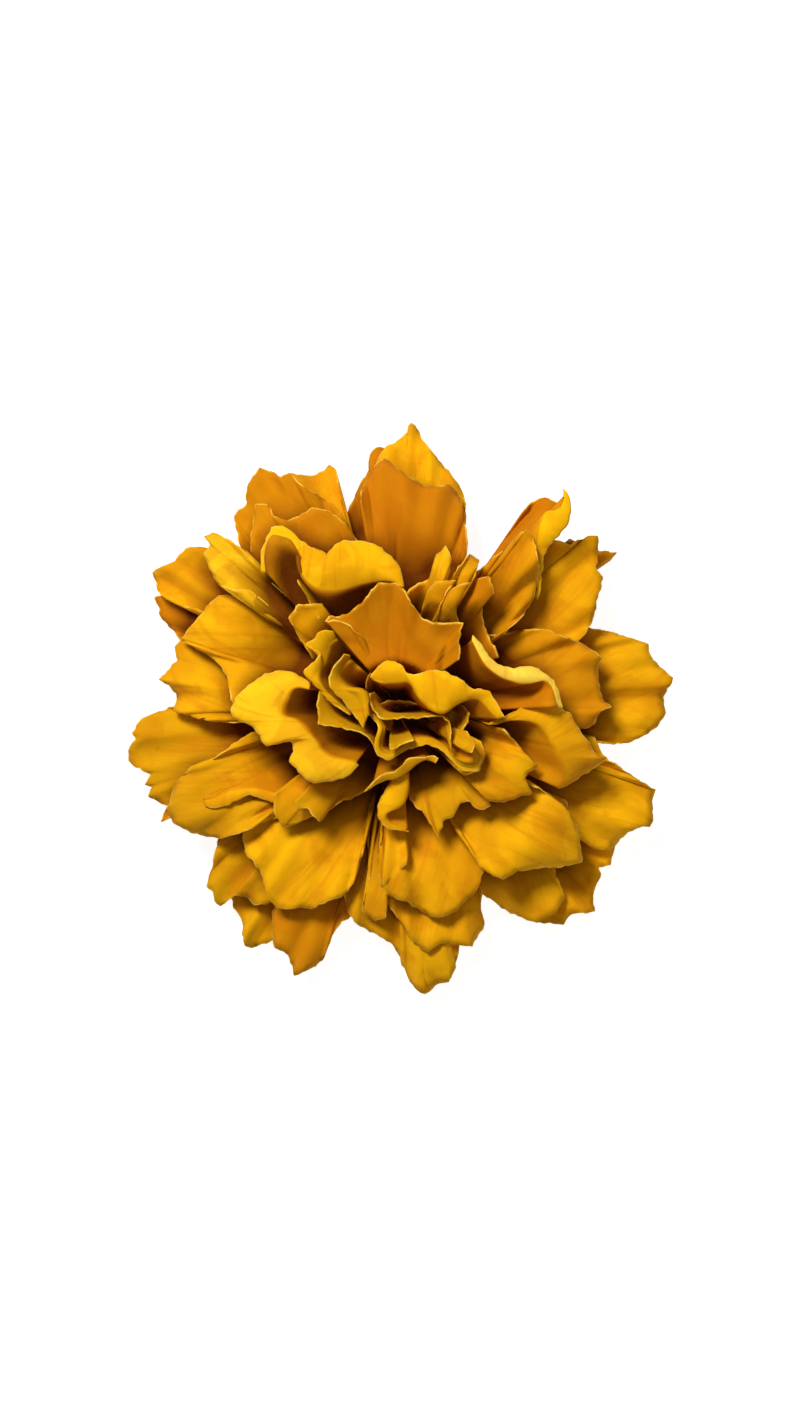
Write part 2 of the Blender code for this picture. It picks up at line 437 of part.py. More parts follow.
def settled(radius, ring_z, petals, below):
    """Lays every petal of a sheet, with its ring raised on the peg until the roots are clear too."""
    for _ in range(MOST_SETTLING_STEPS):
        field = below.copy()
        grids = []
        for place, spec in enumerate(petals):
            root_z = ring_z + ROOT_STAGGER * (place / (len(petals) - 1) - 0.5)
            grids.append(lay_on(petal_grid(radius, root_z, spec), below, field))
            mark(field, split_samples(grids[-1]))
        short = max(root_shortfall(grid, below) for grid in grids)
        if short <= 0.0:
            break
        ring_z += max(short, 0.1)
    return ring_z, grids, field


def mark(field, samples):
    np.maximum.at(field, cell_of(samples), samples[..., 2])


def petal_solid(name, grid, into):
    """The petal as an open sheet of triangles, alike on both faces, thickened to the fabric."""
    rows, columns = grid.shape[:2]
    at = np.arange(rows * columns).reshape(rows, columns)
    near = np.stack([at[:-1, :-1], at[1:, :-1], at[:-1, 1:]], axis=-1).reshape(-1, 3)
    far = np.stack([at[1:, 1:], at[:-1, 1:], at[1:, :-1]], axis=-1).reshape(-1, 3)
    faces = [tuple(int(i) for i in face) for face in np.concatenate([near, far])]
    made = mesh_object(name, grid.reshape(-1, 3), faces, into)
    made.data.polygons.foreach_set("use_smooth", [True] * len(faces))
    thicken = made.modifiers.new("fabric", "SOLIDIFY")
    thicken.thickness = FABRIC_THICKNESS * MM
    thicken.offset = 0.0
    return made


def ring_solid(name, radius, z, into):
    """The sheet's centre: a flat washer round the peg."""
    angle = np.linspace(0.0, 2 * math.pi, RING_SIDES, endpoint=False)
    circle = np.column_stack([np.cos(angle), np.sin(angle)])
    rows = [(PEG_HOLE_RADIUS, -0.5), (radius, -0.5), (radius, 0.5), (PEG_HOLE_RADIUS, 0.5)]
    points = [np.column_stack([r * circle, np.full(RING_SIDES, z + h * RING_THICKNESS)]) for r, h in rows]
    n = RING_SIDES
    faces = [(a * n + i, a * n + (i + 1) % n, (a + 1) % 4 * n + (i + 1) % n, (a + 1) % 4 * n + i)
             for a in range(4) for i in range(n)]
    made = mesh_object(name, np.concatenate(points), faces, into)
    shape = bmesh.new()
    shape.from_mesh(made.data)
    bmesh.ops.recalc_face_normals(shape, faces=shape.faces)
    bmesh.ops.triangulate(shape, faces=shape.faces)
    shape.to_mesh(made.data)
    shape.free()
    return made


def keep_largest_body(mesh):
    """Drops loose scraps, and fills the hollows that petals seal where they cross."""
    shape = bmesh.new()
    shape.from_mesh(mesh)
    bmesh.ops.triangulate(shape, faces=shape.faces)
    seen, bodies = set(), []
    for start in shape.verts:
        if start in seen:
            continue
        body, waiting = [], [start]
        seen.add(start)
        while waiting:
            here = waiting.pop()
            body.append(here)
            for edge in here.link_edges:
                other = edge.other_vert(here)
                if other not in seen:
                    seen.add(other)
                    waiting.append(other)
        bodies.append(body)
    bodies.sort(key=len, reverse=True)
    for body in bodies[1:]:
        bmesh.ops.delete(shape, geom=body, context="VERTS")
    shape.to_mesh(mesh)
    shape.free()


def fuse(ring, petals_in):
    """Joins the petals of a sheet to its ring in one Boolean union."""
    join = ring.modifiers.new("petals", "BOOLEAN")
    join.operation = "UNION"
    join.operand_type = "COLLECTION"
    join.collection = petals_in
    join.solver = "MANIFOLD"
    shape = bpy.context.evaluated_depsgraph_get()
    fused = bpy.data.meshes.new_from_object(ring.evaluated_get(shape))
    ring.modifiers.clear()
    ring.data = fused
    keep_largest_body(fused)
    for piece in list(petals_in.objects):
        bpy.data.objects.remove(piece)
    bpy.data.collections.remove(petals_in)


def petal_sheets(flower, fabric):
    """Stacks the sheets from the back to the heart, and returns the top of the last ring."""
    below = np.full((int(2 * HALF_FIELD / CELL),) * 2, NOTHING_BELOW)
    centres = (np.arange(len(below)) + 0.5) * CELL - HALF_FIELD
    from_axis = np.hypot(centres[:, None], centres[None, :])
    top = COLLAR_TOP
    for number, petals in enumerate(SHEETS, start=1):
        radius = FIRST_RING_RADIUS - RING_STEP * (number - 1)
        under = below[from_axis < radius].max() + FABRIC_THICKNESS / 2
        ring_z = max(top, under) + TOUCH_GAP + RING_THICKNESS / 2
        ring_z, grids, below = settled(radius, ring_z, petals, below)
        top = ring_z + RING_THICKNESS / 2
        name = f"petal_sheet_{number:02d}"
        ring = ring_solid(name, radius, ring_z, flower)
        loose = collection_named(name + "_petals")
        for spec, grid in zip(petals, grids):
            petal_solid(spec["name"], grid, loose)
        below[from_axis < radius] = np.maximum(below[from_axis < radius], top)
        fuse(ring, loose)
        ring.data.materials.clear()
        ring.data.materials.append(fabric)
    return top


def turned(name, profile, into, finish):
    """A profile of (radius, height) points, top to bottom, turned round the axis."""
    mesh = bpy.data.meshes.new(name)
    points = [(r * MM, 0.0, z * MM) for r, z in profile]
    mesh.from_pydata(points, [(i, i + 1) for i in range(len(points) - 1)], [])
    made = bpy.data.objects.new(name, mesh)
    into.objects.link(made)
    screw = made.modifiers.new("turn", "SCREW")
    screw.steps = screw.render_steps = PEG_SIDES
    screw.use_merge_vertices = True
    screw.merge_threshold = 0.00001
    made.data.materials.append(finish)
    return made


def hub(flower, finish, peg_top):
    """The back disc, the collar that the first sheet sits on, and the peg."""
    turned("hub", [
        (0.0, peg_top), (PEG_RADIUS - 0.4, peg_top), (PEG_RADIUS, peg_top - 0.6), (PEG_RADIUS, COLLAR_TOP),
        (COLLAR_RADIUS - 0.8, COLLAR_TOP), (COLLAR_RADIUS, COLLAR_TOP - 0.8),
        (COLLAR_RADIUS + 1.0, BACK_DISC_THICKNESS), (BACK_DISC_RADIUS - 0.4, BACK_DISC_THICKNESS),
        (BACK_DISC_RADIUS, BACK_DISC_THICKNESS - 0.4), (BACK_DISC_RADIUS, 0.0), (0.0, 0.0)], flower, finish)


def cap(flower, finish, bottom):
    """The button that keeps the sheets on the peg."""
    turned("cap", [
        (0.0, bottom + CAP_HEIGHT), (CAP_RADIUS * 0.6, bottom + CAP_HEIGHT * 0.85),
        (CAP_RADIUS, bottom + CAP_HEIGHT * 0.3), (CAP_RADIUS, bottom), (0.0, bottom)], flower, finish)


def main():
    for old in list(bpy.data.objects):
        bpy.data.objects.remove(old)
    flower = collection_named("fabric_dahlia")
    fabric = finish_named("petal_fabric", PETAL_YELLOW, 0.8)
    plastic = finish_named("hub_plastic", HUB_GREEN, 0.5)
    top = petal_sheets(flower, fabric)
    hub(flower, plastic, top)
    cap(flower, plastic, top + TOUCH_GAP)


main()
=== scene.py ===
"""Looks of the fabric dahlia head: fine cloth petals in place of the plain petal sheets, with the
finishes, floor, lights and camera.

Lengths are in millimetres until a mesh is made. X runs to the flower's right, Y to its top and Z
towards whoever looks into it.
"""

import math

import bpy
import numpy as np
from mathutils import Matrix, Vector

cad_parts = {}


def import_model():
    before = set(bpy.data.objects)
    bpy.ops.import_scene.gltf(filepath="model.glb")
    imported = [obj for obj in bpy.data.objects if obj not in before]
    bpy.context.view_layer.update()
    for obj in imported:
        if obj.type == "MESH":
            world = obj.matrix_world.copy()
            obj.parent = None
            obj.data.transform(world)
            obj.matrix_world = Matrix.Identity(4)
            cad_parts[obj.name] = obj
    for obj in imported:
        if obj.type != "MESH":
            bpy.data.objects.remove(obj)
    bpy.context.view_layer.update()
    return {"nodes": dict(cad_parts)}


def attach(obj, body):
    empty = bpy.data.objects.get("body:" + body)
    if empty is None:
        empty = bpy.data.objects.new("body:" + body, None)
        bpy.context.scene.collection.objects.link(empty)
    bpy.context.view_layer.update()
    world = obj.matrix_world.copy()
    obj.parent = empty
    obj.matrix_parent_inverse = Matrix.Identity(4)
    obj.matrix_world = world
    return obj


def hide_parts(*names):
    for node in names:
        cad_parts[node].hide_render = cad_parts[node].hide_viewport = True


MM = 0.001
SEED = 20

# The photograph's scale and view
PHOTO_HIGH = 1421
MM_PER_PHOTO_PIXEL = 0.25
VIEW_CENTRE = (1.25, -1.4)
MIDDLE_HEIGHT = 22.0
CAMERA_DISTANCE = 1500.0
SENSOR = 36.0

# The rings that carry the petals
CLOTH_THICKNESS = 0.3
PEG_HOLE_RADIUS = 1.45
FIRST_RING_RADIUS = 10.0
RING_STEP = 0.76
ROOT_SUNK = 0.75
ROOT_STAGGER = 0.5
RING_ZONE = 0.35

# The rim: how the read points are joined, and the scissors' small waves and saw of cuts
RIM_SPACING = 1.0
RIM_TENSION = 0.9
SHARP_BEND, SOFT_BEND = 0.45, 0.8
CUT_WAVES, CUT_DEPTH, CUT_FADE = (7.3, 4.1, 2.4), 0.35, 6.0
SAW_PITCH, SAW_DEPTH = 3.1, 0.2

# Plain petals, and the wall and band of petals that turn over
PETAL_ROWS, WALL_ROWS, BAND_ROWS = 27, 17, 11
LEAST_LIP = 0.5
BOWL_SHEETS, BOWL_POWERS = (4, 8), (1.0, 1.8)
WALL_SPACING, WALL_POWER = 1.4, 2.2
WALL_END, BAND_START = 0.45, 0.8
BAND_CROWN, MOST_CROWN = 0.16, 1.6

# Buckles, lip waves, cupping and creases of the cloth
FULL_REACH = 35.0
BAND_STIFFNESS = 0.3
BUCKLE_WAVES, BUCKLE_DEPTH = (47.0, 29.0, 17.0), 2.6
CROSS_WAVES, CROSS_DEPTH = (31.0, 19.0), 1.4
LIP_WAVES, LIP_DEPTH, BAND_LIP_DEPTH = (26.0, 15.0, 9.0), 0.9, 0.4
CUP_RANGE = (-1.5, 2.5)
CREASES, CREASE_WIDTH = 3, 0.7

# The field of heights on which each petal is laid
CELL = 0.5
HALF_FIELD = 80.0
NOTHING_BELOW = -100.0
LAYER_CLEARANCE = 0.6
LIFT_ROWS, LIFT_ROUNDS, MOST_LIFT = 7, 16, 7.0
# CROWN_BLUR blurs the flower's top surface, below which the cloth gets painted shade
CROWN_BLUR = 60
FAR_FROM_RIM = 9.0


def petal(name, crest, root, rim, fold=()):
    """One petal: crest = (share of its reach, height) where the climb from the ring ends, root = width
    at the ring, rim = the points of its edge, fold = the inner edge of a band that turns over."""
    return {"name": name, "crest": crest, "root": root, "rim": rim, "fold": fold}


BACK_RING = [
    petal("sliver_top", (0.6, 11), 6, [
        (-12.3, 47.5, 9), (-10.8, 51.3, 9), (-8.8, 55.5, 9), (-6.8, 59.3, 9), (-6, 63.8, 9),
        (-4.8, 65, 9), (-3.5, 65.3, 9), (-2.3, 64.5, 9), (-0.8, 61.3, 9), (1.3, 51.3, 9)]),
    petal("tip_upper_right", (0.6, 10), 6, [
        (44, 42, 7), (51, 39, 7), (53.8, 38.8, 7), (56, 38.5, 7), (54.3, 36.8, 7), (50.8, 34.5, 7),
        (47, 27, 7)]),
    petal("lobe_lower_right", (0.6, 9), 7, [
        (53, -33, 8), (55.5, -35.8, 8), (54.3, -40.3, 8), (51.5, -41, 8), (52, -43.5, 7),
        (50.3, -46.3, 7), (50.5, -52.3, 6), (47.5, -52.5, 7), (44.3, -53, 7), (42.5, -55.5, 6),
        (36.3, -54.8, 7), (32, -48, 8)]),
    petal("lobe_lower_left", (0.6, 9), 6, [
        (-42, -40, 8), (-41.3, -48.8, 7), (-40.8, -51.3, 7), (-38.5, -55, 6), (-38.5, -58.8, 6),
        (-38, -61, 5), (-36.3, -61.3, 5), (-34.3, -60.8, 6), (-31, -59.8, 6), (-27, -52, 8)]),
    petal("tip_lower_left", (0.6, 8), 5, [
        (-52, -21, 7), (-58.3, -26.8, 6), (-59.3, -29.5, 5), (-55.8, -28, 6), (-48, -30, 7)]),
    petal("lobe_left", (0.6, 9), 6, [
        (-48, 33, 8), (-55, 29.5, 8), (-60.8, 27, 7), (-59.8, 24.8, 7), (-59.5, 22.8, 7),
        (-57.5, 20.5, 7), (-54, 16.3, 8), (-48, 12, 9)]),
]

OUTER_RING = [
    petal("lower_left_brown", (0.65, 11), 6, [
        (-31, -52, 10), (-30.5, -61.3, 8), (-27.5, -62.5, 8), (-26.3, -65, 7), (-25.5, -68.3, 6),
        (-21.3, -66.5, 8), (-19.5, -65.5, 8), (-16.8, -60.8, 9), (-15.8, -58, 9), (-14.5, -55.8, 10),
        (-11.3, -53.3, 10), (-9, -46, 11)]),
    petal("bottom", (0.65, 12), 7, [
        (-13, -47, 11), (-10.8, -53.8, 10), (-6.3, -57, 9), (-1.3, -59.8, 9), (1.3, -63.8, 8),
        (3.3, -69, 7), (5, -71.3, 7), (7.8, -73.3, 6), (10.8, -70.3, 8), (13.8, -69.8, 8),
        (14.5, -67.8, 9), (16, -62.5, 10), (17, -55, 11)]),
    petal("right", (0.65, 14), 9, [
        (45, 20, 12), (51.3, 19, 11), (57.5, 17.5, 10), (64, 15.3, 10), (64.3, 12.5, 10), (66.3, 10.3, 9),
        (68.3, 8.5, 9), (70, 6.8, 8), (69.3, 4.8, 9), (67.8, 2, 9), (68, -2.8, 9), (66.5, -4.8, 10),
        (61.3, -8.5, 10), (54.3, -9.8, 11), (46, -7.3, 12)]),
    petal("lower_right_front", (0.65, 13), 6, [
        (19, -41, 12), (21.3, -47, 11), (23.8, -48.8, 10), (29.3, -52.5, 9), (36.3, -54.8, 9),
        (40.8, -51.8, 10), (42.8, -48.3, 11), (40.8, -43.8, 12), (40, -37, 13)]),
    petal("left_pale_low", (0.65, 13), 6, [
        (-44, -28, 13), (-44.5, -33.8, 12), (-46, -40, 11), (-47.3, -45.8, 9), (-46.3, -47, 9),
        (-45.5, -49.3, 9), (-44, -50.8, 9), (-41.8, -49, 10), (-39.8, -48, 11), (-38, -48, 11),
        (-35.5, -50.5, 10), (-31.8, -49.8, 11), (-26, -44, 13)]),
    petal("left", (0.65, 13), 8, [
        (-50, 2, 12), (-58.8, -1.5, 11), (-63.8, -3.5, 10), (-66.3, -7, 10), (-65.5, -8.3, 10),
        (-67.3, -11.5, 9), (-67.5, -13.3, 9), (-66.8, -14.8, 9), (-63, -16.8, 9), (-62, -17.5, 9),
        (-63, -20, 8), (-61.5, -20.8, 8), (-62.5, -23, 8), (-57, -25.5, 9), (-48, -24, 11)]),
    petal("top_left_back", (0.65, 14), 6, [
        (-33, 50, 12), (-26.8, 58.5, 11), (-20.8, 57.8, 11), (-18.8, 58.8, 10), (-16.5, 60.5, 10),
        (-15, 59.3, 11), (-14.3, 56.3, 12), (-13.3, 51.3, 12), (-11.8, 44, 13)]),
]

THIRD_RING = [
    petal("upper_right", (0.7, 21), 8, [
        (33, 40, 20), (39.5, 41.5, 19), (44.3, 39.8, 20), (45.8, 41.3, 19), (47.8, 42, 18),
        (51, 42.5, 17), (51, 38.8, 18), (50.5, 34.3, 19), (52, 32, 18), (51.3, 28.8, 19), (50.3, 25, 19),
        (49, 20, 20), (44, 14, 20)]),
    petal("right_low", (0.7, 17), 8, [
        (50, -8, 17), (52.5, -12.8, 16), (57.5, -16.3, 15), (61.3, -19, 14), (65.5, -21.3, 12),
        (64.8, -23.8, 13), (64.8, -26.8, 12), (65, -29.3, 11), (63.8, -30.5, 12), (61.3, -30.8, 13),
        (58.8, -32, 13), (56.8, -33.5, 13), (55.5, -35.8, 12), (52, -36.5, 13), (48.8, -35.3, 14),
        (45.5, -30.8, 15), (43, -24, 17)]),
    petal("bottom_under", (0.7, 15), 7, [
        (-4, -40, 14), (-3.8, -46.3, 13), (0, -52.5, 12), (3.3, -57.5, 11), (6.8, -61.3, 10),
        (8.3, -62, 10), (11.3, -60, 11), (15.8, -60.3, 11), (19.3, -60.8, 11), (20.8, -58, 11),
        (22.8, -55.5, 10), (21.5, -51.3, 12), (22, -47, 13)]),
    petal("gap_strip", (0.7, 13), 3, [
        (-6.8, -34, 14), (-6.8, -46, 13), (-8.5, -51.5, 12), (-5, -54, 12), (-2.3, -53.5, 12),
        (-2.5, -48, 13), (-4, -36, 14)]),
    petal("left_upper", (0.7, 16), 6, [
        (-49, 24, 14), (-55, 25.5, 13), (-59.5, 28.3, 12), (-60.3, 30.8, 12), (-61.3, 33.5, 11),
        (-58.8, 34.8, 13), (-55.5, 36.3, 14), (-53.8, 38.3, 14), (-52.5, 39.3, 14), (-50, 39.8, 15),
        (-45, 39, 16)]),
    petal("top_left_folded", (0.7, 18), 7, [
        (-36, 34, 17), (-38.8, 40, 17), (-39.8, 43.8, 17), (-40.5, 47.5, 15), (-38.8, 49.3, 17),
        (-37.5, 50.5, 18), (-37.3, 53.8, 17), (-35.5, 58, 15), (-34, 59.5, 14), (-31.8, 59, 15),
        (-28.8, 57.5, 17), (-26.3, 58, 17), (-23.8, 55.5, 18), (-20, 53, 18), (-16.3, 50.8, 18),
        (-12.5, 46, 18)]),
    petal("top_bright", (0.7, 18), 8, [
        (-8, 52, 15), (-5, 60, 15), (-2.3, 64.8, 15), (0.8, 66.5, 15), (3, 68.8, 14), (3.3, 70.3, 13),
        (4, 71, 13), (5, 70.3, 13), (6.3, 68, 14), (9.3, 63.5, 15), (13.3, 58.8, 16), (16.8, 53.8, 17),
        (17.8, 48.8, 18), (17, 40, 19)]),
]

FOURTH_RING = [
    petal("left_back", (0.72, 18), 6, [
        (-50, 18, 17), (-53.8, 16.3, 16), (-55.5, 14.5, 15), (-54.8, 11.3, 15), (-57.3, 8.5, 14),
        (-59.3, 6.3, 13), (-56.8, 5, 14), (-54.8, 1.3, 14), (-55.8, -1.5, 14), (-51.3, -2.8, 15),
        (-47.5, -3.8, 15), (-40.5, -4.5, 17)]),
    petal("lower_left_big", (0.72, 21), 8, [
        (-37.5, -31.2, 20), (-38.2, -32.8, 19.9), (-37.8, -35, 19.8), (-37.2, -37.5, 19.7),
        (-35.5, -39, 19.6), (-34.2, -41, 19.5), (-33, -43.8, 19.5), (-32.2, -46.8, 19.4),
        (-31.2, -49.5, 19.3), (-28.8, -51, 19.2), (-26.2, -51.2, 19.1), (-23.5, -50.8, 19),
        (-20.8, -51, 19.3), (-18.2, -49.8, 19.5), (-15, -48.5, 19.8), (-12.8, -47.5, 20.1),
        (-11.2, -45.8, 20.4), (-10.2, -43.8, 20.6), (-9.2, -40.8, 20.9), (-8.2, -37.5, 21.2),
        (-7.8, -33.8, 21.5), (-7, -28.8, 21.7), (-6.5, -25, 22)]),
    petal("bottom_shaded", (0.72, 17), 4, [
        (-3.8, -28, 19), (-3.3, -33, 18), (-4.3, -38.8, 17), (-3.5, -45, 16), (1, -46, 16), (4, -38, 17)]),
    petal("bottom_bright", (0.72, 21), 7, [
        (3.5, -27.5, 22), (3.2, -31.5, 21.7), (3.2, -35, 21.5), (3, -39, 21.2), (1.2, -41.8, 20.9),
        (-1, -43.8, 20.6), (-3.2, -45.5, 20.4), (-1.2, -47.8, 20.1), (1.2, -48.8, 19.8),
        (3.2, -49.2, 19.5), (5, -50.8, 19.3), (7.2, -52, 19), (9.2, -53, 19.3), (11.2, -53.2, 19.5),
        (13.8, -52.5, 19.8), (16, -51, 20.1), (17.8, -48.8, 20.4), (20, -47.2, 20.6), (21, -45, 20.9),
        (21.8, -42.8, 21.2), (22.2, -40.8, 21.5), (20.8, -38.2, 21.7), (18.2, -33.8, 22)]),
    petal("top_left_front", (0.72, 22), 6, [
        (-33, 32, 22), (-35.8, 37.5, 21), (-35.5, 46.3, 20), (-34.8, 50.3, 19), (-31.8, 50.3, 20),
        (-30.8, 47.5, 22), (-27.8, 46.3, 23), (-24, 47.3, 22), (-20.8, 49.3, 21), (-16.3, 48.3, 22),
        (-12.5, 45.3, 22), (-9.3, 41, 23)]),
    petal("top_front", (0.72, 24), 8, [
        (-7, 34, 24), (-5.5, 40, 24), (-7.3, 45, 23), (-8.5, 51.3, 22), (-8.3, 53.8, 21),
        (-7.3, 56.3, 20), (-4.5, 60.5, 18), (-2.8, 62, 17), (-0.3, 60, 19), (8.3, 54.8, 21),
        (11.3, 54.8, 21), (13.8, 55, 20), (15, 54, 20), (16.3, 51.8, 21), (17.5, 45, 22), (18, 38, 23),
        (15.3, 32, 25)]),
    petal("curled_back", (0.8, 18), 5, [
        (27.5, 37.2, 20), (29, 39, 20), (29.8, 41.8, 20), (30.5, 44.5, 20), (31.5, 47.2, 20),
        (33, 49.5, 20), (35, 51.2, 20), (37, 52, 20), (39.2, 51.2, 20.3), (41.2, 50.5, 20.6),
        (41, 48.5, 20.9), (39.2, 46.2, 21.1), (37.5, 42.5, 21.4), (36.5, 36.2, 21.7), (35.8, 28.8, 22)]),
    petal("curled_upright", (0.8, 22), 9, [
        (35.5, 26.2, 24), (36.2, 28.2, 25.1), (36.5, 32.2, 26.2), (37, 36.2, 27.3), (37.8, 38.8, 28.4),
        (39, 40.5, 29.5), (40.8, 42.2, 30), (42.5, 44.2, 30), (43.5, 46.8, 30), (43.8, 49.5, 30),
        (43.2, 52, 30), (41.8, 53.8, 30)], [
        (35, 26.8, 24), (35.5, 29.2, 25.3), (34.8, 33.2, 26.5), (34.8, 36.8, 27.8), (35, 40, 29.1),
        (35.5, 42.8, 30.4), (36, 45.2, 30.9), (37, 47.5, 30.7), (37.8, 48.2, 30.5), (39.5, 48, 30.4),
        (41.2, 49.5, 30.2), (42, 52, 30)]),
]

FIFTH_RING = [
    petal("lower_left_wide", (0.75, 24), 8, [
        (-36, -7, 24), (-40.8, -10, 23), (-45, -13.3, 21), (-50, -15, 20), (-53.8, -18.3, 18),
        (-55.5, -20.8, 17), (-56.3, -23.8, 17), (-57.3, -25.8, 16), (-55.5, -29.5, 17),
        (-51.3, -31.8, 18), (-44.5, -33.3, 20), (-36.3, -31, 22), (-33.3, -29.5, 23), (-24, -27, 24)]),
    petal("lower_left_flap", (0.7, 24), 6, [
        (-47.5, -25.2, 23), (-45.5, -25.8, 23.5), (-43.2, -25.5, 24.1), (-41.2, -24.8, 24.6),
        (-38.8, -23.5, 25.2), (-36.2, -22.5, 25.7), (-34.2, -23, 26.2), (-31.5, -24, 26.5),
        (-28.8, -24.2, 26.9), (-26, -24.2, 27.3), (-22.8, -24, 27.6), (-20.8, -22.5, 28)], [
        (-48, -23.5, 23), (-46, -23.2, 23.5), (-44.2, -22.5, 24.1), (-42.2, -21.5, 24.6),
        (-40.5, -21, 25.2), (-38.8, -20.8, 25.7), (-36.2, -20.8, 26.2), (-33.2, -21, 26.5),
        (-30.2, -21.8, 26.9), (-27.5, -22.5, 27.3), (-24.5, -22.8, 27.6), (-21.8, -21.2, 28)]),
    petal("left_bright", (0.75, 26), 8, [
        (-38, -3, 24), (-40.5, 0.5, 24), (-42, 7, 24), (-44.3, 10.5, 23), (-48, 13.3, 22),
        (-53.8, 16.3, 19), (-48.8, 22.3, 22), (-45.8, 25.8, 23), (-44, 27.3, 23), (-41.8, 27.3, 24),
        (-38.8, 26.8, 25), (-37, 31, 24), (-35.5, 27, 26), (-29, 24, 27)]),
    petal("right_front", (0.75, 26), 8, [
        (23.2, 17.2, 27), (26, 17.5, 26.6), (28.8, 18.2, 26.2), (32.5, 18.8, 25.9), (35.2, 19, 25.5),
        (37.8, 18.8, 25.1), (40.2, 17.8, 24.7), (43.8, 16.5, 24.3), (47, 15.2, 24), (49.2, 13.8, 23.6),
        (51.5, 12.2, 23.2), (51, 10, 23), (50.8, 7.5, 23.1), (51.2, 4.2, 23.2), (52, 1.5, 23.3),
        (54, -0.5, 23.4), (51.2, -1.8, 23.5), (50.5, -3, 23.6), (49.8, -4.8, 23.7), (47.5, -5.8, 23.8),
        (45.2, -6, 23.9), (42.5, -4.2, 24)]),
    petal("right_inner_blade", (0.75, 28), 6, [
        (15.2, 33.2, 27), (17.5, 31.8, 26.9), (20, 33, 26.8), (22.5, 34.8, 26.7), (24.5, 36.6, 26.6),
        (26.5, 38.2, 26.5), (28.8, 40.2, 26.4), (30.8, 42.3, 26.3), (32.6, 43.8, 26.2), (34, 42, 26.1),
        (35, 39, 26.1), (35.6, 35.5, 26.2), (35.6, 31.5, 26.3), (34.9, 28, 26.5), (33.4, 24.6, 26.8),
        (31, 21.2, 27.2), (29, 19.8, 27.4), (27.5, 17.8, 27.6), (25.5, 17.5, 27.8), (23.2, 17.5, 28)]),
    petal("lower_right_bright", (0.75, 26), 8, [
        (31, -19, 27), (34.5, -20.3, 26), (39.3, -23, 25), (43.3, -26.8, 24), (45, -29.8, 23),
        (46, -32.5, 22), (46.5, -35.8, 21), (46.8, -39.5, 19), (42.5, -40.3, 20), (36.3, -40.8, 21),
        (31.3, -41.5, 21), (27, -43.3, 19), (23, -41.8, 20), (19.5, -37.5, 22), (16, -32.5, 24),
        (14.5, -28.8, 25), (15, -25, 27)]),
    petal("lower_left_leaflet", (0.75, 25), 4, [
        (-30, -22, 26), (-30, -26.8, 25), (-28, -30.5, 24), (-23.8, -29.3, 25), (-20.5, -27.5, 25),
        (-18, -22, 26)]),
]

SIXTH_RING = [
    petal("pale_upper_left", (0.78, 32), 5, [
        (-33, 26, 31), (-36.8, 28.8, 30), (-38.8, 28.5, 30), (-42.3, 29.5, 29), (-43.8, 29.8, 29),
        (-46.5, 35, 27), (-47.8, 37.5, 26), (-45.8, 40, 27), (-47.5, 42, 26), (-45.5, 43, 27),
        (-40.8, 40.8, 30), (-35.8, 36.8, 33), (-33.3, 33.3, 34), (-26.3, 26.3, 34)]),
    petal("right_drooping", (0.78, 32), 7, [
        (24.8, -3.5, 35), (27, -3, 34.8), (29.2, -1.8, 34.6), (31.2, -0.8, 34.3), (33.8, -0.5, 34.1),
        (36.5, 0, 33.9), (39, -0.2, 33.7), (41.5, -1, 33.4), (43.8, -2.5, 33.2), (44.8, -4.8, 33),
        (46, -6.5, 32.4), (47.8, -8.8, 31.9), (49, -11, 31.3), (50, -12.5, 30.8), (52.8, -13, 30.2),
        (51, -14.5, 29.7), (48.8, -16.2, 29.1), (45.5, -18.2, 28.6), (42.5, -20.2, 28)], [
        (23, -4.8, 36), (25, -4.8, 35.9), (27, -4.2, 35.8), (29, -3.8, 35.7), (31.2, -3.8, 35.6),
        (33.5, -4.2, 35.4), (35.2, -5, 35.3), (36.8, -6.5, 35.2), (38, -8, 35.1), (39, -9.8, 35),
        (39.8, -11.5, 34.3), (40.5, -13, 33.7), (41.2, -14.5, 33), (41.8, -16, 32.3), (42, -17.2, 31.7),
        (41.8, -18.2, 31), (41.5, -19.2, 30.3), (41.2, -20, 29.7), (40.8, -20.8, 29)]),
    petal("lower_left_inner", (0.78, 29), 5, [
        (-24.8, -23.8, 30), (-24.2, -25.8, 30), (-21.8, -25.8, 30), (-20.8, -26.8, 30),
        (-19.8, -28.2, 30), (-18.8, -29, 30), (-17.2, -27.5, 30), (-16, -26, 30), (-14.2, -24.5, 30.1),
        (-12.8, -23.8, 30.4), (-11, -23.5, 30.7), (-9.2, -22.5, 30.9), (-7.5, -21.2, 31.2),
        (-5.8, -20.2, 31.5), (-3.8, -19.2, 31.7), (-0.8, -18.5, 32)]),
    petal("bottom_inner", (0.78, 30), 6, [
        (3.5, -16.2, 31), (3.5, -20, 30.8), (3.8, -23.5, 30.7), (5.2, -25.2, 30.5), (7.2, -27.2, 30.3),
        (9, -30, 30.1), (10.2, -32, 30), (11, -33.2, 29.8), (11.5, -30.8, 29.6), (12.2, -28.8, 29.4),
        (14.5, -27.8, 29.3), (15.5, -26.2, 29.1), (16.2, -24.5, 29.1), (17.8, -24, 29.4),
        (19.2, -24.8, 29.7), (20.8, -26, 29.9), (22, -26.2, 30.2), (23.5, -25, 30.4), (23, -23.2, 30.7),
        (22.2, -20.8, 31), (22.5, -19.5, 31.2), (25, -18.8, 31.5), (25, -16.2, 31.7), (23.8, -14.8, 32)]),
    petal("upper_left_leaf", (0.78, 32), 4, [
        (-24, 24, 33), (-27, 31, 33), (-28.5, 38, 31), (-27, 39.5, 31), (-25.5, 34, 32), (-21, 25, 33)]),
]

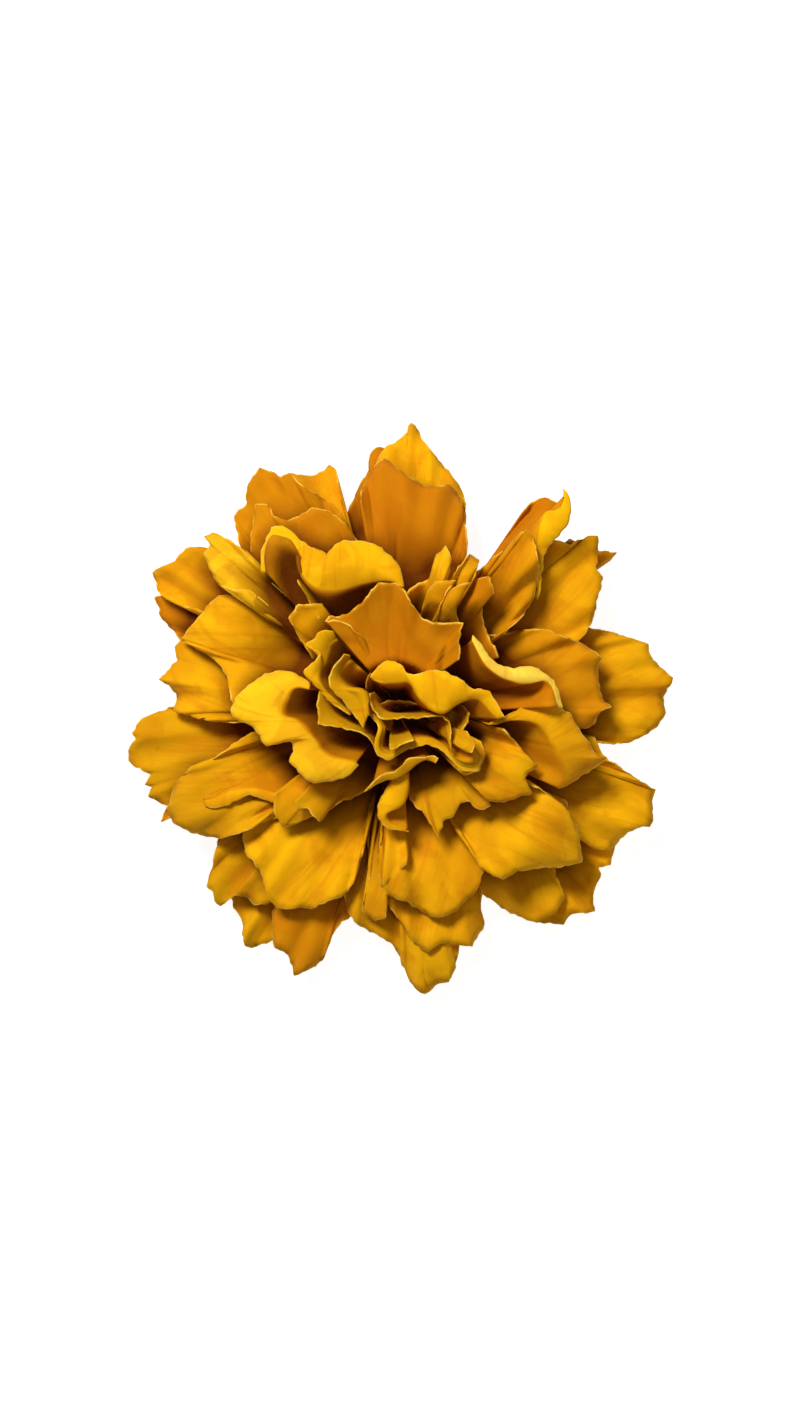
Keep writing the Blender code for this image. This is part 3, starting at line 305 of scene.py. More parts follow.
SEVENTH_RING = [
    petal("bottom_fold", (0.8, 31), 3, [
        (-0.5, -18.5, 33), (-2, -20.5, 32.6), (-3.2, -22.8, 32.1), (-4.2, -25, 31.7), (-4.5, -26.5, 31.2),
        (-4, -28.2, 30.8), (-2.8, -29.8, 30.3), (-1, -31, 29.9), (1.2, -31.2, 29.4), (3.5, -31.5, 29)], [
        (3.2, -16.8, 34), (3.5, -19.5, 33.6), (3.2, -22.2, 33.1), (2.2, -24.5, 32.7), (0.5, -25.8, 32.2),
        (-1.5, -26.2, 31.7), (-2.2, -27.2, 31), (-1.5, -29, 30.3), (0.5, -30.5, 29.7), (3.2, -31.6, 29)]),
    petal("right_lower_inner", (0.8, 32), 5, [
        (27, -6, 34), (31.3, -10.8, 33), (33.3, -13, 32), (35.3, -15, 31), (32.3, -18, 31), (34, -22, 29),
        (31.3, -22.8, 30), (27, -24, 30), (23.3, -24, 30), (19, -17, 32)]),
    petal("left_curl", (0.85, 34), 4, [
        (-19.2, 21.8, 36), (-18.2, 25.2, 36), (-20.8, 24.8, 36), (-23.8, 25, 36), (-25, 23.5, 36),
        (-26.2, 21.5, 35.9), (-25.2, 19.2, 35.7), (-23.8, 16.8, 35.4), (-22, 14.2, 35.2),
        (-20.5, 11.5, 35)]),
    petal("top_s_curve", (0.8, 38), 8, [
        (-33.2, 32.8, 34), (-33.2, 36.2, 34.3), (-32.5, 39.8, 34.6), (-31.5, 42, 34.9),
        (-30.5, 43.8, 35.2), (-28.8, 44.2, 35.5), (-27, 44, 35.8), (-25.2, 42.5, 36.1), (-23.8, 41, 36.4),
        (-20.8, 39.2, 36.7), (-18.2, 38, 37), (-16.8, 37.2, 37), (-15.5, 38.8, 37), (-14.2, 40.2, 37),
        (-11.2, 40.5, 37), (-7.5, 40.5, 37), (-4.2, 39.2, 37), (-1.8, 37.5, 37), (0.2, 35.5, 37),
        (1.5, 32.8, 37), (2.2, 29.2, 37)], [
        (-31.8, 32.8, 35), (-32.2, 36.2, 35.3), (-31.8, 39.2, 35.6), (-31, 41.2, 35.9), (-30.2, 42, 36.2),
        (-28, 41.5, 36.5), (-26, 40.8, 36.8), (-24.8, 39, 37.1), (-24.5, 36.2, 37.4), (-23.8, 33, 37.7),
        (-22.8, 31, 38), (-21.2, 29.2, 38), (-19.2, 27.8, 38), (-17, 27.2, 38), (-13.8, 27.5, 38),
        (-10.8, 28.5, 38), (-7.8, 29.5, 38), (-4.8, 30.2, 38), (-2.2, 30.5, 38), (0.2, 30.2, 38),
        (1.8, 29, 38)]),
    petal("upper_right_brown", (0.8, 35), 4, [
        (15.8, 33, 36), (17.8, 31.8, 36.2), (20, 31.2, 36.3), (23.2, 31.8, 36.5), (24.2, 29.5, 36.7),
        (24.5, 27.5, 36.8), (22.5, 26.2, 37), (21.8, 23.8, 37), (21.8, 21.2, 37), (22.5, 18.8, 37),
        (23.8, 16, 37), (25, 13.8, 37), (25.8, 11.8, 37)]),
    petal("top_small", (0.8, 34), 3, [
        (13, 30, 34), (15.3, 33.3, 33), (18.5, 37.5, 32), (20.8, 35.8, 32), (20, 32, 33)]),
    petal("right_rolled_rim", (0.8, 34), 7, [
        (19.2, 17.2, 39), (20.8, 15.5, 39.2), (22.2, 13.5, 39.3), (23.8, 11.5, 39.5), (25.5, 10, 39.6),
        (27.5, 9.2, 39.8), (30.2, 9.2, 39.9), (33.2, 9.5, 39.7), (36, 8.5, 39.1), (38, 7.2, 38.5),
        (39.5, 5.2, 37.8), (40.5, 3.2, 37.2), (41, 1.2, 36.6), (41.5, -0.8, 36)], [
        (19, 16, 40), (20, 14, 40.1), (21, 12, 40.3), (22.2, 10, 40.4), (23.8, 8.5, 40.6),
        (25.8, 7, 40.7), (28.2, 6, 40.9), (30.8, 5.2, 41), (33.2, 5.2, 40.4), (35.5, 5.8, 39.9),
        (37, 6, 39.3), (38.2, 5.2, 38.7), (39, 3.5, 38.1), (39.5, 1.5, 37.6), (40.2, -0.5, 37)]),
]

EIGHTH_RING = [
    petal("left_s_curve", (0.82, 39), 7, [
        (-20.8, 5.5, 38), (-23.8, 7.2, 38.1), (-26.2, 8.2, 38.3), (-28.8, 8.5, 38.4), (-31.2, 7.8, 38.5),
        (-33.8, 6.5, 38.7), (-36.2, 4.8, 38.8), (-38.8, 2.2, 38.9), (-40.2, 0, 39.1), (-40.5, -2, 39.2),
        (-39.2, -3.5, 39.3), (-37, -4.5, 39.5), (-35.2, -5.5, 39.6), (-33.8, -6.8, 39.7),
        (-32.8, -9, 39.9), (-31.8, -10.2, 40), (-29.8, -9.8, 39.9), (-27.8, -9, 39.9), (-26, -9, 39.8),
        (-25, -10.2, 39.7), (-25.5, -12.2, 39.7), (-26, -14, 39.6), (-24.5, -15.8, 39.5),
        (-22.5, -17.8, 39.5), (-20.8, -19, 39.4), (-18.5, -19.2, 39.3), (-15.8, -18.8, 39.3),
        (-13.5, -18.2, 39.2), (-11.5, -17.5, 39.1), (-10.2, -16.2, 39.1), (-9, -14.8, 39)], [
        (-21.2, 3.8, 39), (-23, 4.2, 39.2), (-24.2, 4.2, 39.3), (-25.2, 3.8, 39.5), (-26, 2.8, 39.6),
        (-26.5, 1.2, 39.8), (-27, -0.2, 39.9), (-27.2, -1.5, 40.1), (-27, -2.5, 40.2), (-26.2, -3, 40.4),
        (-25.2, -3.2, 40.5), (-24.2, -3.5, 40.7), (-23.2, -4.2, 40.8), (-22.2, -5, 41),
        (-21.5, -5.8, 40.9), (-20.8, -6.8, 40.8), (-20, -7.8, 40.8), (-19.2, -8.8, 40.7),
        (-18.5, -9.8, 40.6), (-18, -10.8, 40.5), (-17.2, -11.5, 40.5), (-16.2, -12.2, 40.4),
        (-15, -12.8, 40.3), (-13.5, -13.2, 40.2), (-12, -13.5, 40.2), (-10.8, -13.8, 40.1),
        (-9.5, -14.2, 40)]),
    petal("lower_inner_right", (0.82, 37), 5, [
        (9.3, -10.5, 38), (13.3, -13, 37), (15.5, -16.3, 36), (17, -17.3, 35), (20.8, -16.3, 36),
        (22.3, -12.5, 37), (21.3, -9, 38)]),
    petal("lower_inner_left", (0.9, 36), 4, [
        (-8, -21.8, 38), (-6.5, -20.2, 38), (-4.8, -18.5, 38), (-3, -17, 38), (-1, -16.5, 38),
        (0.5, -16.2, 38), (1.8, -14.8, 38), (3.2, -13.2, 38), (5.2, -12.8, 38), (7.5, -13, 38),
        (9.8, -12.5, 38), (10.8, -13.2, 38), (10, -14.5, 38)], [
        (-5.5, -20.2, 36), (-4.5, -19.5, 36), (-3.2, -19, 36), (-2, -18.5, 36), (-0.5, -18.5, 36),
        (1, -18, 36), (2.2, -17.2, 36), (3.8, -16, 36.2), (5, -15, 36.3), (6.2, -14.2, 36.5),
        (7.5, -13.5, 36.7), (8.8, -13.8, 36.8), (9.5, -14, 37)]),
    petal("top_finger_left", (0.82, 38), 3, [
        (2.5, 27, 39), (3.7, 28.6, 39), (6, 30, 38.8), (8.1, 31.1, 38.4), (9.6, 32.6, 37.8),
        (10.1, 35, 37), (10.3, 37.1, 36.4), (11.3, 38, 36), (12.6, 39.3, 35.8), (13.5, 37.6, 36),
        (13.7, 35, 36.6), (13.4, 32.7, 37.4), (12.2, 30.6, 38), (10.2, 28.8, 38.4), (8.4, 26.5, 38.8),
        (7.6, 23.5, 39)]),
    petal("top_finger_middle", (0.82, 38.4), 2.5, [
        (7.8, 21.6, 39.4), (7.4, 24.9, 39.3), (8.1, 27.9, 39.1), (10, 30.2, 38.8), (12.5, 30.7, 38.5),
        (14.8, 30.6, 38.3), (13.2, 28.6, 38.7), (12, 26, 39), (11.5, 23, 39.2), (12, 20.4, 39.4)]),
    petal("top_finger_right", (0.82, 38.6), 3, [
        (10.6, 20.6, 40), (11.1, 23.8, 39.8), (12.5, 26.9, 39.5), (15.2, 29.3, 39), (18.4, 30, 38.6),
        (16.8, 28.2, 39), (15.7, 26.2, 39.3), (15.1, 24, 39.6), (15.5, 21.8, 39.8), (16.5, 19.4, 40)]),
]

NINTH_RING = [
    petal("left_low_ruffle", (0.95, 37), 4, [
        (-16.2, 3.2, 40), (-18.5, 3.8, 40.2), (-19.2, 1.5, 40.4), (-19, -1.8, 40.5), (-19, -4.8, 40.7),
        (-17.2, -5.2, 40.9), (-15, -5.2, 40.7), (-12.5, -6, 40.2), (-9.5, -6.5, 39.6), (-7.2, -7.5, 39.1),
        (-5.8, -9.2, 38.5), (-4.8, -11.2, 38)], [
        (-13.5, 1.2, 36), (-15.2, 1.2, 36), (-15.8, 0.5, 36), (-15.5, -0.8, 36), (-14.8, -2, 36),
        (-13.5, -3, 36), (-12, -3.8, 35.8), (-10.5, -4.5, 35.5), (-9, -5.2, 35.1), (-7.2, -6.2, 34.7),
        (-5.2, -8, 34.4), (-3.8, -10.2, 34)]),
    petal("left_ruffle", (0.95, 39), 5, [
        (-15.2, 18.2, 41), (-17.2, 18.5, 41.1), (-19, 18, 41.2), (-19.8, 16.5, 41.3), (-22.5, 14.8, 41.4),
        (-20.8, 14.2, 41.6), (-19.2, 13.5, 41.7), (-18.5, 12.5, 41.8), (-19.2, 11.2, 41.9), (-21, 10, 42),
        (-22.2, 8.8, 41.8), (-22.5, 7.8, 41.6), (-21.5, 6.5, 41.3), (-20, 5.2, 41.1), (-18.8, 3.8, 40.9),
        (-17.2, 2, 40.7), (-15.5, 0.2, 40.4), (-13.2, -1.2, 40.2), (-11.2, -2.5, 40)], [
        (-14.2, 16.2, 38), (-15.2, 15.5, 38.1), (-16, 14.5, 38.2), (-16.2, 13.5, 38.4),
        (-16.5, 12.5, 38.5), (-16.8, 11.5, 38.6), (-17, 10.5, 38.7), (-17.5, 9.5, 38.8), (-18, 8.5, 38.9),
        (-18.2, 7.5, 38.9), (-18.2, 6.5, 38.6), (-18, 5.5, 38.4), (-17.5, 4.2, 38.2), (-16.8, 3.2, 37.9),
        (-15.5, 2, 37.7), (-13.8, 0.5, 37.5), (-11.8, -1, 37.2), (-10.2, -2, 37)]),
    petal("lower_ruffle", (0.9, 37), 4, [
        (-6.8, -1.8, 37), (-5.2, -3.8, 37), (-4.2, -5.5, 37), (-4.5, -7.5, 37), (-5, -9.2, 37),
        (-5, -11.2, 37), (-3.8, -13, 37), (-1.2, -13.5, 37), (0.5, -12.5, 37), (2.2, -11.5, 37),
        (4.2, -10.8, 37), (6.8, -10, 37), (9.8, -10.5, 37), (12.2, -11.8, 37), (14.2, -14, 37),
        (16, -15.8, 37), (18.2, -16.5, 37), (20.8, -16.2, 37), (21.5, -12.8, 37)], [
        (-4.8, -2.2, 37), (-3.5, -3.8, 36.9), (-2.5, -5.2, 36.8), (-2.8, -7.2, 36.7), (-3.2, -9, 36.6),
        (-3, -10.5, 36.4), (-1.8, -11.5, 36.3), (-0.5, -11.5, 36.2), (1, -10.2, 36.1), (2.5, -9.2, 36),
        (4.2, -8.5, 36.1), (6.5, -8, 36.2), (9.5, -8.5, 36.3), (12, -9.8, 36.4), (14, -11.8, 36.6),
        (15.8, -13.5, 36.7), (17.8, -14.5, 36.8), (19.5, -14.2, 36.9), (19.8, -11.2, 37)]),
    petal("orange_spoon", (0.3, 38), 6, [
        (-3.2, 10.2, 41), (-5.8, 13.5, 41.1), (-7.5, 16, 41.3), (-9.5, 18.2, 41.4), (-11.8, 20, 41.6),
        (-14.2, 20.8, 41.7), (-17, 20.8, 41.9), (-16.2, 21.8, 42), (-13.8, 22, 42.2), (-11.2, 22.8, 42.3),
        (-9, 24.5, 42.5), (-7.2, 26.5, 42.6), (-5.8, 28.2, 42.8), (-4, 29.8, 42.9), (-2, 30.2, 43),
        (0, 30, 42.9), (2, 28.5, 42.8), (3.8, 25.8, 42.7), (5.5, 23, 42.7), (7.2, 21.2, 42.6),
        (9.5, 20.5, 42.5), (12.2, 20, 42.4), (14.8, 20.5, 42.4), (16.8, 20.2, 42.3), (16.2, 18.2, 42.2),
        (15.8, 16, 42.1), (16.2, 13.8, 42.1), (15.8, 11.2, 42)]),
]

HEART_RING = [
    petal("centre_curl_upper", (0.9, 31), 3, [
        (-7.2, 3.8, 33), (-7, 6.2, 32.5), (-6, 7.8, 32), (-4.5, 5.8, 31.5), (-2.8, 3.8, 31),
        (-0.8, 1.8, 31), (1.2, -0.2, 31), (3.8, -0.2, 31), (6.2, 1.8, 31)]),
    petal("centre_curl_lower", (0.9, 30), 3, [
        (-4.8, -4.2, 31), (-4.5, -1.2, 31.3), (-2.8, 0.8, 31.6), (0.2, 1.2, 31.9), (3.2, 0.8, 31.9),
        (6.2, 0.2, 31.6), (9.2, -0.8, 31.3), (10.2, -2.8, 31)]),
    petal("right_ruffle", (0.95, 40), 4, [
        (13.2, -0.2, 41), (15.2, 0.2, 41.2), (17.2, -0.5, 41.3), (18.5, -2.2, 41.5), (18, -4.2, 41.6),
        (16.8, -6, 41.8), (16, -7.2, 41.9), (17, -8.5, 41.8), (16, -10, 41.5), (17.2, -11.5, 41.2),
        (18.8, -11.8, 40.9), (19.8, -10, 40.6), (18.8, -8, 40.3), (17.8, -6.5, 40)]),
    petal("lower_heart_ruffle", (0.95, 39), 4, [
        (-6.2, 2.8, 40), (-6.2, 0.8, 40.1), (-5.5, -1, 40.3), (-4.2, -2.8, 40.4), (-2.8, -3.5, 40.6),
        (-0.2, -3.5, 40.7), (2.8, -3.2, 40.9), (5.8, -3.2, 41), (8.2, -3, 40.9), (10.8, -2.8, 40.7),
        (12.2, -3, 40.6), (13.2, -4.2, 40.4), (13.8, -6.8, 40.3), (13.8, -9.2, 40.1), (14.2, -12, 40)], [
        (-5.2, 3.2, 35), (-4.8, 1.2, 35), (-3.8, -0.2, 35), (-2.5, -1.5, 35), (-1, -2, 35),
        (0.8, -2.2, 35), (2.8, -2.2, 35), (4.8, -2.2, 35), (6.8, -2.2, 34.9), (8.8, -2, 34.7),
        (10.8, -1.8, 34.6), (12, -2, 34.4), (12.8, -3.2, 34.3), (12.8, -5.8, 34.1), (13, -8.8, 34)]),
    petal("left_heart_ruffle", (0.9, 39), 4, [
        (-11.2, 12.2, 42), (-12.5, 12.5, 42.2), (-13.5, 11.2, 42.3), (-14.8, 9.8, 42.5),
        (-15.8, 8.5, 42.7), (-16.2, 6.8, 42.8), (-16.2, 5, 43), (-15.2, 3.2, 42.5), (-13.8, 1.8, 42),
        (-12.2, 0.2, 41.5), (-10.8, -1.8, 41), (-9.2, -3.8, 40.5), (-7.8, -6, 40)], [
        (-11, 11.5, 39), (-12, 10.5, 39.2), (-13, 9, 39.3), (-13.5, 7.2, 39.5), (-13, 6.2, 39.7),
        (-12.2, 5.2, 39.8), (-11.2, 4.5, 40), (-9.8, 4.2, 39.7), (-8.2, 4, 39.3), (-7, 3.2, 39),
        (-6.5, 1.8, 38.7), (-7, -0.2, 38.3), (-6.8, -2.8, 38)]),
    petal("wavy_band", (0.9, 42), 6, [
        (-6.2, 7, 42), (-5, 8.5, 42.2), (-3.5, 10, 42.4), (-1.8, 10.8, 42.6), (0, 10.8, 42.8),
        (1.8, 9.5, 43.1), (3.2, 7.5, 43.3), (4.8, 7.5, 43.5), (7.2, 8.2, 43.7), (9.8, 8.5, 43.9),
        (12.2, 8.2, 43.8), (14.5, 7.2, 43.5), (16.8, 5.8, 43.2), (19, 4, 42.9), (21, 4, 42.6),
        (22.8, 3.5, 42.3), (24.2, 2, 41.9), (25.5, 0, 41.6), (26.5, -2, 41.3), (27.2, -3, 41)], [
        (-5.8, 6.5, 41), (-4.5, 5.8, 41.2), (-2.8, 5.2, 41.4), (-0.8, 5.2, 41.6), (1.2, 5.2, 41.8),
        (3, 5.5, 42.1), (4.2, 4.8, 42.3), (5, 3, 42.5), (6.2, 1.2, 42.7), (8, -0.5, 42.9),
        (10, -1.8, 42.8), (12, -2.2, 42.5), (13.8, -1, 42.2), (15.5, 0.2, 41.9), (17.2, 1, 41.6),
        (19, 1.5, 41.3), (20.8, 1.2, 40.9), (22.2, 0, 40.6), (23.8, -1.8, 40.3), (25.5, -3.5, 40)]),
    petal("heart_leaf", (0.9, 35), 2.5, [
        (-5, -2.8, 36), (-4, -4.5, 36), (-2.2, -5.8, 36), (-1, -7.5, 36), (-1.2, -9.5, 36),
        (-1, -11.2, 35.9), (1.2, -10.2, 35.7), (4.5, -8.8, 35.4), (3.2, -6.2, 35.2), (1.8, -4.2, 35)]),
]

SHEETS = [
    BACK_RING, OUTER_RING, THIRD_RING, FOURTH_RING, FIFTH_RING, SIXTH_RING, SEVENTH_RING, EIGHTH_RING,
    NINTH_RING, HEART_RING,
]


def ring_height(node):
    """The height of a sheet's ring, read from the edge of its peg hole."""
    mesh = node.data
    points = np.empty(len(mesh.vertices) * 3)
    mesh.vertices.foreach_get("co", points)
    points = points.reshape(-1, 3) / MM
    at_hole = np.hypot(points[:, 0], points[:, 1]) < PEG_HOLE_RADIUS + 0.1
    return points[at_hole, 2].mean()


def waves(rng, along, lengths, size):
    """A sum of sines of the given wavelengths, each with its own seeded phase and strength."""
    phases = rng.uniform(0.0, 2 * math.pi, len(lengths))
    strengths = rng.uniform(0.5, 1.0, len(lengths))
    total = sum(s * np.sin(2 * math.pi * along / w + p) for w, p, s in zip(lengths, phases, strengths))
    return size * total / len(lengths)


def smooth_rim(points):
    """Cubic Hermite pieces through the read points, with tangents from the chords on both sides that
    fade where the rim turns sharply, sampled about every millimetre so that each read point is kept."""
    points = np.array(points, float)
    chord = np.linalg.norm(np.diff(points, axis=0), axis=1)
    slope = np.diff(points, axis=0) / chord[:, None]
    tangent = np.empty_like(points)
    before, after = chord[:-1, None], chord[1:, None]
    tangent[1:-1] = (slope[:-1] * after + slope[1:] * before) / (before + after)
    tangent[0], tangent[-1] = slope[0], slope[-1]
    bend = np.ones(len(points))
    bend[1:-1] = (slope[:-1, :2] * slope[1:, :2]).sum(axis=1)
    tangent *= RIM_TENSION * np.clip((bend - SHARP_BEND) / (SOFT_BEND - SHARP_BEND), 0.1, 1.0)[:, None]
    pieces = np.maximum(2, np.ceil(chord / RIM_SPACING).astype(int))
    piece = np.repeat(np.arange(len(chord)), pieces)
    step = np.concatenate([np.arange(n) / n for n in pieces])[:, None]
    width = chord[piece, None]
    start, end = points[piece], points[piece + 1]
    curve = ((2 * step ** 3 - 3 * step ** 2 + 1) * start + (3 * step ** 2 - 2 * step ** 3) * end
             + (step ** 3 - 2 * step ** 2 + step) * width * tangent[piece]
             + (step ** 3 - step ** 2) * width * tangent[piece + 1])
    return np.concatenate([curve, points[-1:]])


def cut_rim(rng, rim):
    """Moves the rim in and out in plan by short waves and a saw of fine cuts, none at its two ends."""
    step = np.linalg.norm(np.diff(rim[:, :2], axis=0), axis=1)
    along = np.concatenate([[0.0], np.cumsum(step)])
    heading = np.gradient(rim[:, :2], axis=0)
    heading /= np.linalg.norm(heading, axis=1)[:, None] + 1e-9
    out = np.column_stack([heading[:, 1], -heading[:, 0]])
    ends = np.clip(np.minimum(along, along[-1] - along) / CUT_FADE, 0.0, 1.0)
    saw = (along / SAW_PITCH + rng.uniform()) % 1.0
    shift = waves(rng, along, CUT_WAVES, CUT_DEPTH) + SAW_DEPTH * (saw - 0.5)
    moved = rim.copy()
    moved[:, :2] += out * (shift * ends)[:, None]
    return moved, along


def fold_line(points, share):
    """The inner edge of a turned-over band, at the same shares of its length as the rim's points."""
    line = smooth_rim(points)
    step = np.linalg.norm(np.diff(line[:, :2], axis=0), axis=1)
    along = np.concatenate([[0.0], np.cumsum(step)]) / step.sum()
    return np.column_stack([np.interp(share, along, line[:, axis]) for axis in range(3)])


def folded_rows(root, root_z, fold, rim):
    """Rows of a petal with a band: the wall climbs from the ring to the fold with t ** WALL_POWER, and
    the band runs from the fold to the rim over a low crown 4 s (1 - s)."""
    t = (1.0 - (1.0 - np.linspace(0.0, 1.0, WALL_ROWS)) ** WALL_SPACING)[:, None]
    wall = root[None] + (fold[None, :, :2] - root[None]) * t[:, :, None]
    wall_z = root_z + (fold[None, :, 2] - root_z) * t ** WALL_POWER
    s = np.linspace(0.0, 1.0, BAND_ROWS)[1:, None]
    band = fold[None, :, :2] + (rim[None, :, :2] - fold[None, :, :2]) * s[:, :, None]
    width = np.linalg.norm(rim[:, :2] - fold[:, :2], axis=1)[None]
    crown = np.minimum(BAND_CROWN * width, MOST_CROWN)
    band_z = fold[None, :, 2] + (rim[None, :, 2] - fold[None, :, 2]) * s + crown * 4 * s * (1 - s)
    length = np.linalg.norm(fold[:, :2] - root, axis=1)[None]
    plan = np.concatenate([wall, band])
    height = np.concatenate([wall_z, band_z])
    from_rim = np.concatenate([(1 - t) * length + width, (1 - s) * width])
    # The share of the way out stays low on the wall and jumps at the fold, so the wall takes the darkening
    # towards the root, which is partly painted shade, and the band the painted highlight
    outward = np.concatenate([WALL_END * t, BAND_START + (1.0 - BAND_START) * s])
    return plan, height, from_rim, outward


def plain_rows(root, root_z, rim, crest, bowl):
    """Rows of a plain petal. With t = the share of the way to the crest, to the power bowl, a vein
    climbs as 3 t^2 - 2 t^3, and past the crest it runs to the rim's height as the square of the way."""
    crest_at, crest_z = crest
    u = np.linspace(0.0, 1.0, PETAL_ROWS)[:, None]
    plan = root[None] + (rim[None, :, :2] - root[None]) * u[:, :, None]
    reach = np.linalg.norm(rim[:, :2] - root, axis=1)[None]
    crest_reach = crest_at * reach.max()
    lip = np.maximum(reach - crest_reach, LEAST_LIP * (reach.max() - crest_reach))
    rise = np.clip(u * reach / crest_reach, 0.0, 1.0) ** bowl
    beyond = np.maximum(u * reach - crest_reach, 0.0) / lip
    height = root_z + (crest_z - root_z) * rise * rise * (3.0 - 2.0 * rise)
    height = height + (rim[None, :, 2] - crest_z) * beyond * beyond
    return plan, height, (1.0 - u) * reach, u


def petal_surface(rng, ring_radius, root_z, spec, bowl):
    """Straight veins from an arc on the ring to the rim, with soft buckles, creases along a few
    veins and a waved lip. Gives the points, the distance from the rim, the share of the way out and
    the place in the weave."""
    rim, along = cut_rim(rng, smooth_rim(spec["rim"]))
    share = along / along[-1]
    middle = np.array(spec["rim"], float)[:, :2].mean(axis=0)
    facing = math.atan2(middle[1], middle[0])
    root_radius = ring_radius - ROOT_SUNK
    first, last = rim[0, :2], rim[-1, :2]
    turn = 1.0 if first[0] * last[1] - first[1] * last[0] > 0 else -1.0
    angles = facing + turn * (share - 0.5) * spec["root"] / root_radius
    root = root_radius * np.column_stack([np.cos(angles), np.sin(angles)])
    folded = bool(spec["fold"])
    if folded:
        plan, height, inward, u = folded_rows(root, root_z, fold_line(spec["fold"], share), rim)
    else:
        plan, height, inward, u = plain_rows(root, root_z, rim, spec["crest"], bowl)
    reach = np.linalg.norm(rim[:, :2] - root, axis=1)[None]
    across = along[None] * (0.25 + 0.75 * u)
    size = min(1.0, reach.mean() / FULL_REACH) * (BAND_STIFFNESS if folded else 1.0)
    buckle = waves(rng, across + 0.35 * reach * u, BUCKLE_WAVES, BUCKLE_DEPTH * size)
    buckle = buckle + waves(rng, reach * u - 0.3 * across, CROSS_WAVES, CROSS_DEPTH * size)
    height = height + buckle * np.clip(1.5 - u, 0.0, 1.0) * np.clip(u / 0.25, 0, 1)
    lip_depth = BAND_LIP_DEPTH if folded else LIP_DEPTH + 2.0 * size
    ruffle = waves(rng, along, LIP_WAVES, lip_depth)[None]
    height = height + ruffle * u ** 4
    cup = rng.uniform(*CUP_RANGE) * size
    height = height - cup * 4.0 * share[None] * (1.0 - share[None]) * np.sin(math.pi * u * 0.8)
    for crease_at in rng.uniform(0.15, 0.85, CREASES):
        drift = crease_at + rng.uniform(-0.15, 0.15) * u
        aside = np.abs(share[None] - drift) * along[-1] * (0.3 + 0.7 * u)
        deep = rng.uniform(0.1, 0.5) * np.clip(3.0 * u, 0.0, 1.0)
        deep = deep * np.clip((rng.uniform(0.7, 1.3) - u) / 0.3, 0.0, 1.0)
        height = height - deep * np.exp(-aside / CREASE_WIDTH)
    surface = np.concatenate([plan, height[:, :, None]], axis=2)
    from_side = np.minimum(along, along[-1] - along)[None] * u + 0.5
    from_rim = np.minimum(inward, from_side)
    return surface, from_rim, np.broadcast_to(u, height.shape), np.stack([across, reach * u], axis=-1)


def between(values, per_side):
    """The grid's own points with further ones on the straight lines between them."""
    rows, columns = values.shape[:2]
    down = hats(rows, per_side * (rows - 1) + 1)
    over = hats(columns, per_side * (columns - 1) + 1)
    return over @ np.tensordot(down, values, 1)


def hats(nodes, count, smooth=False):
    """The share of each of a row of nodes in each of count even places along it: straight hats, or
    with smooth the hats (1 + cos) / 2."""
    apart = np.abs(np.linspace(0, nodes - 1, count)[:, None] - np.arange(nodes)[None])
    apart = np.minimum(apart, 1.0)
    return (1 + np.cos(math.pi * apart)) / 2 if smooth else 1 - apart


def cell_of(points):
    """The indices of the field's cells over which points lie."""
    index = ((points[..., :2] + HALF_FIELD) / CELL).astype(int)
    return index[..., 0], index[..., 1]


def clear_height(field, distance):
    """The lowest height over each cell that keeps a distance from the field, as a rolled ball does."""
    cells = int(math.ceil(distance / CELL))
    wide = np.pad(field, cells, constant_values=NOTHING_BELOW)
    out = field + distance
    for dx in range(-cells, cells + 1):
        for dy in range(-cells, cells + 1):
            aside = CELL * math.hypot(max(abs(dx) - 0.5, 0.0), max(abs(dy) - 0.5, 0.0))
            if aside < distance:
                part = wide[cells + dx:cells + dx + len(field), cells + dy:cells + dy + len(field)]
                out = np.maximum(out, part + math.sqrt(distance * distance - aside * aside))
    return out


def lay_on(surface, sheets_below, petals_below):
    """Lifts a petal over the sheets under it and, away from the ring, over its neighbours. The lift
    is a smooth sum of hats on a few nodes, and each round raises the nodes by their share in
    what their worst place lacks."""
    places = between(surface, 2)
    over_sheets = clear_height(sheets_below, LAYER_CLEARANCE)[cell_of(places)] - places[..., 2]
    over_petals = clear_height(petals_below, LAYER_CLEARANCE)[cell_of(places)] - places[..., 2]
    away = np.clip((np.linspace(0, 1, len(places)) - RING_ZONE) / RING_ZONE, 0.0, 1.0)[:, None]
    need = np.maximum(over_sheets, np.where(away > 0, over_petals * away, NOTHING_BELOW))
    need[:4] = NOTHING_BELOW
    rows, columns = LIFT_ROWS, max(4, surface.shape[1] // 7)
    down, over = hats(rows, need.shape[0], True), hats(columns, need.shape[1], True)
    weight = (down ** 2).sum(axis=1)[:, None] * (over ** 2).sum(axis=1)[None]
    lift = np.zeros((rows, columns))
    for _ in range(LIFT_ROUNDS):
        short = np.maximum(need - down @ lift @ over.T, 0.0) / weight
        by_row = (short[:, None, :] * down[:, :, None]).max(axis=0)
        step = (by_row[:, :, None] * over[None]).max(axis=1)
        step[0] = 0.0
        lift += step
    lift = np.minimum(lift, MOST_LIFT)
    lifted = surface.copy()
    lifted[..., 2] += hats(rows, surface.shape[0], True) @ lift @ hats(columns, surface.shape[1], True).T
    return lifted


def mark(field, surface):
    """Raises the field to a surface where that is higher."""
    places = between(surface, 4)
    np.maximum.at(field, cell_of(places), places[..., 2])


def grid_faces(rows, columns, first):
    """The corner numbers of the quads of a grid whose points start at number first."""
    at = np.arange(rows * columns).reshape(rows, columns) + first
    return np.stack([at[:-1, :-1], at[1:, :-1], at[1:, 1:], at[:-1, 1:]], axis=-1).reshape(-1, 4)


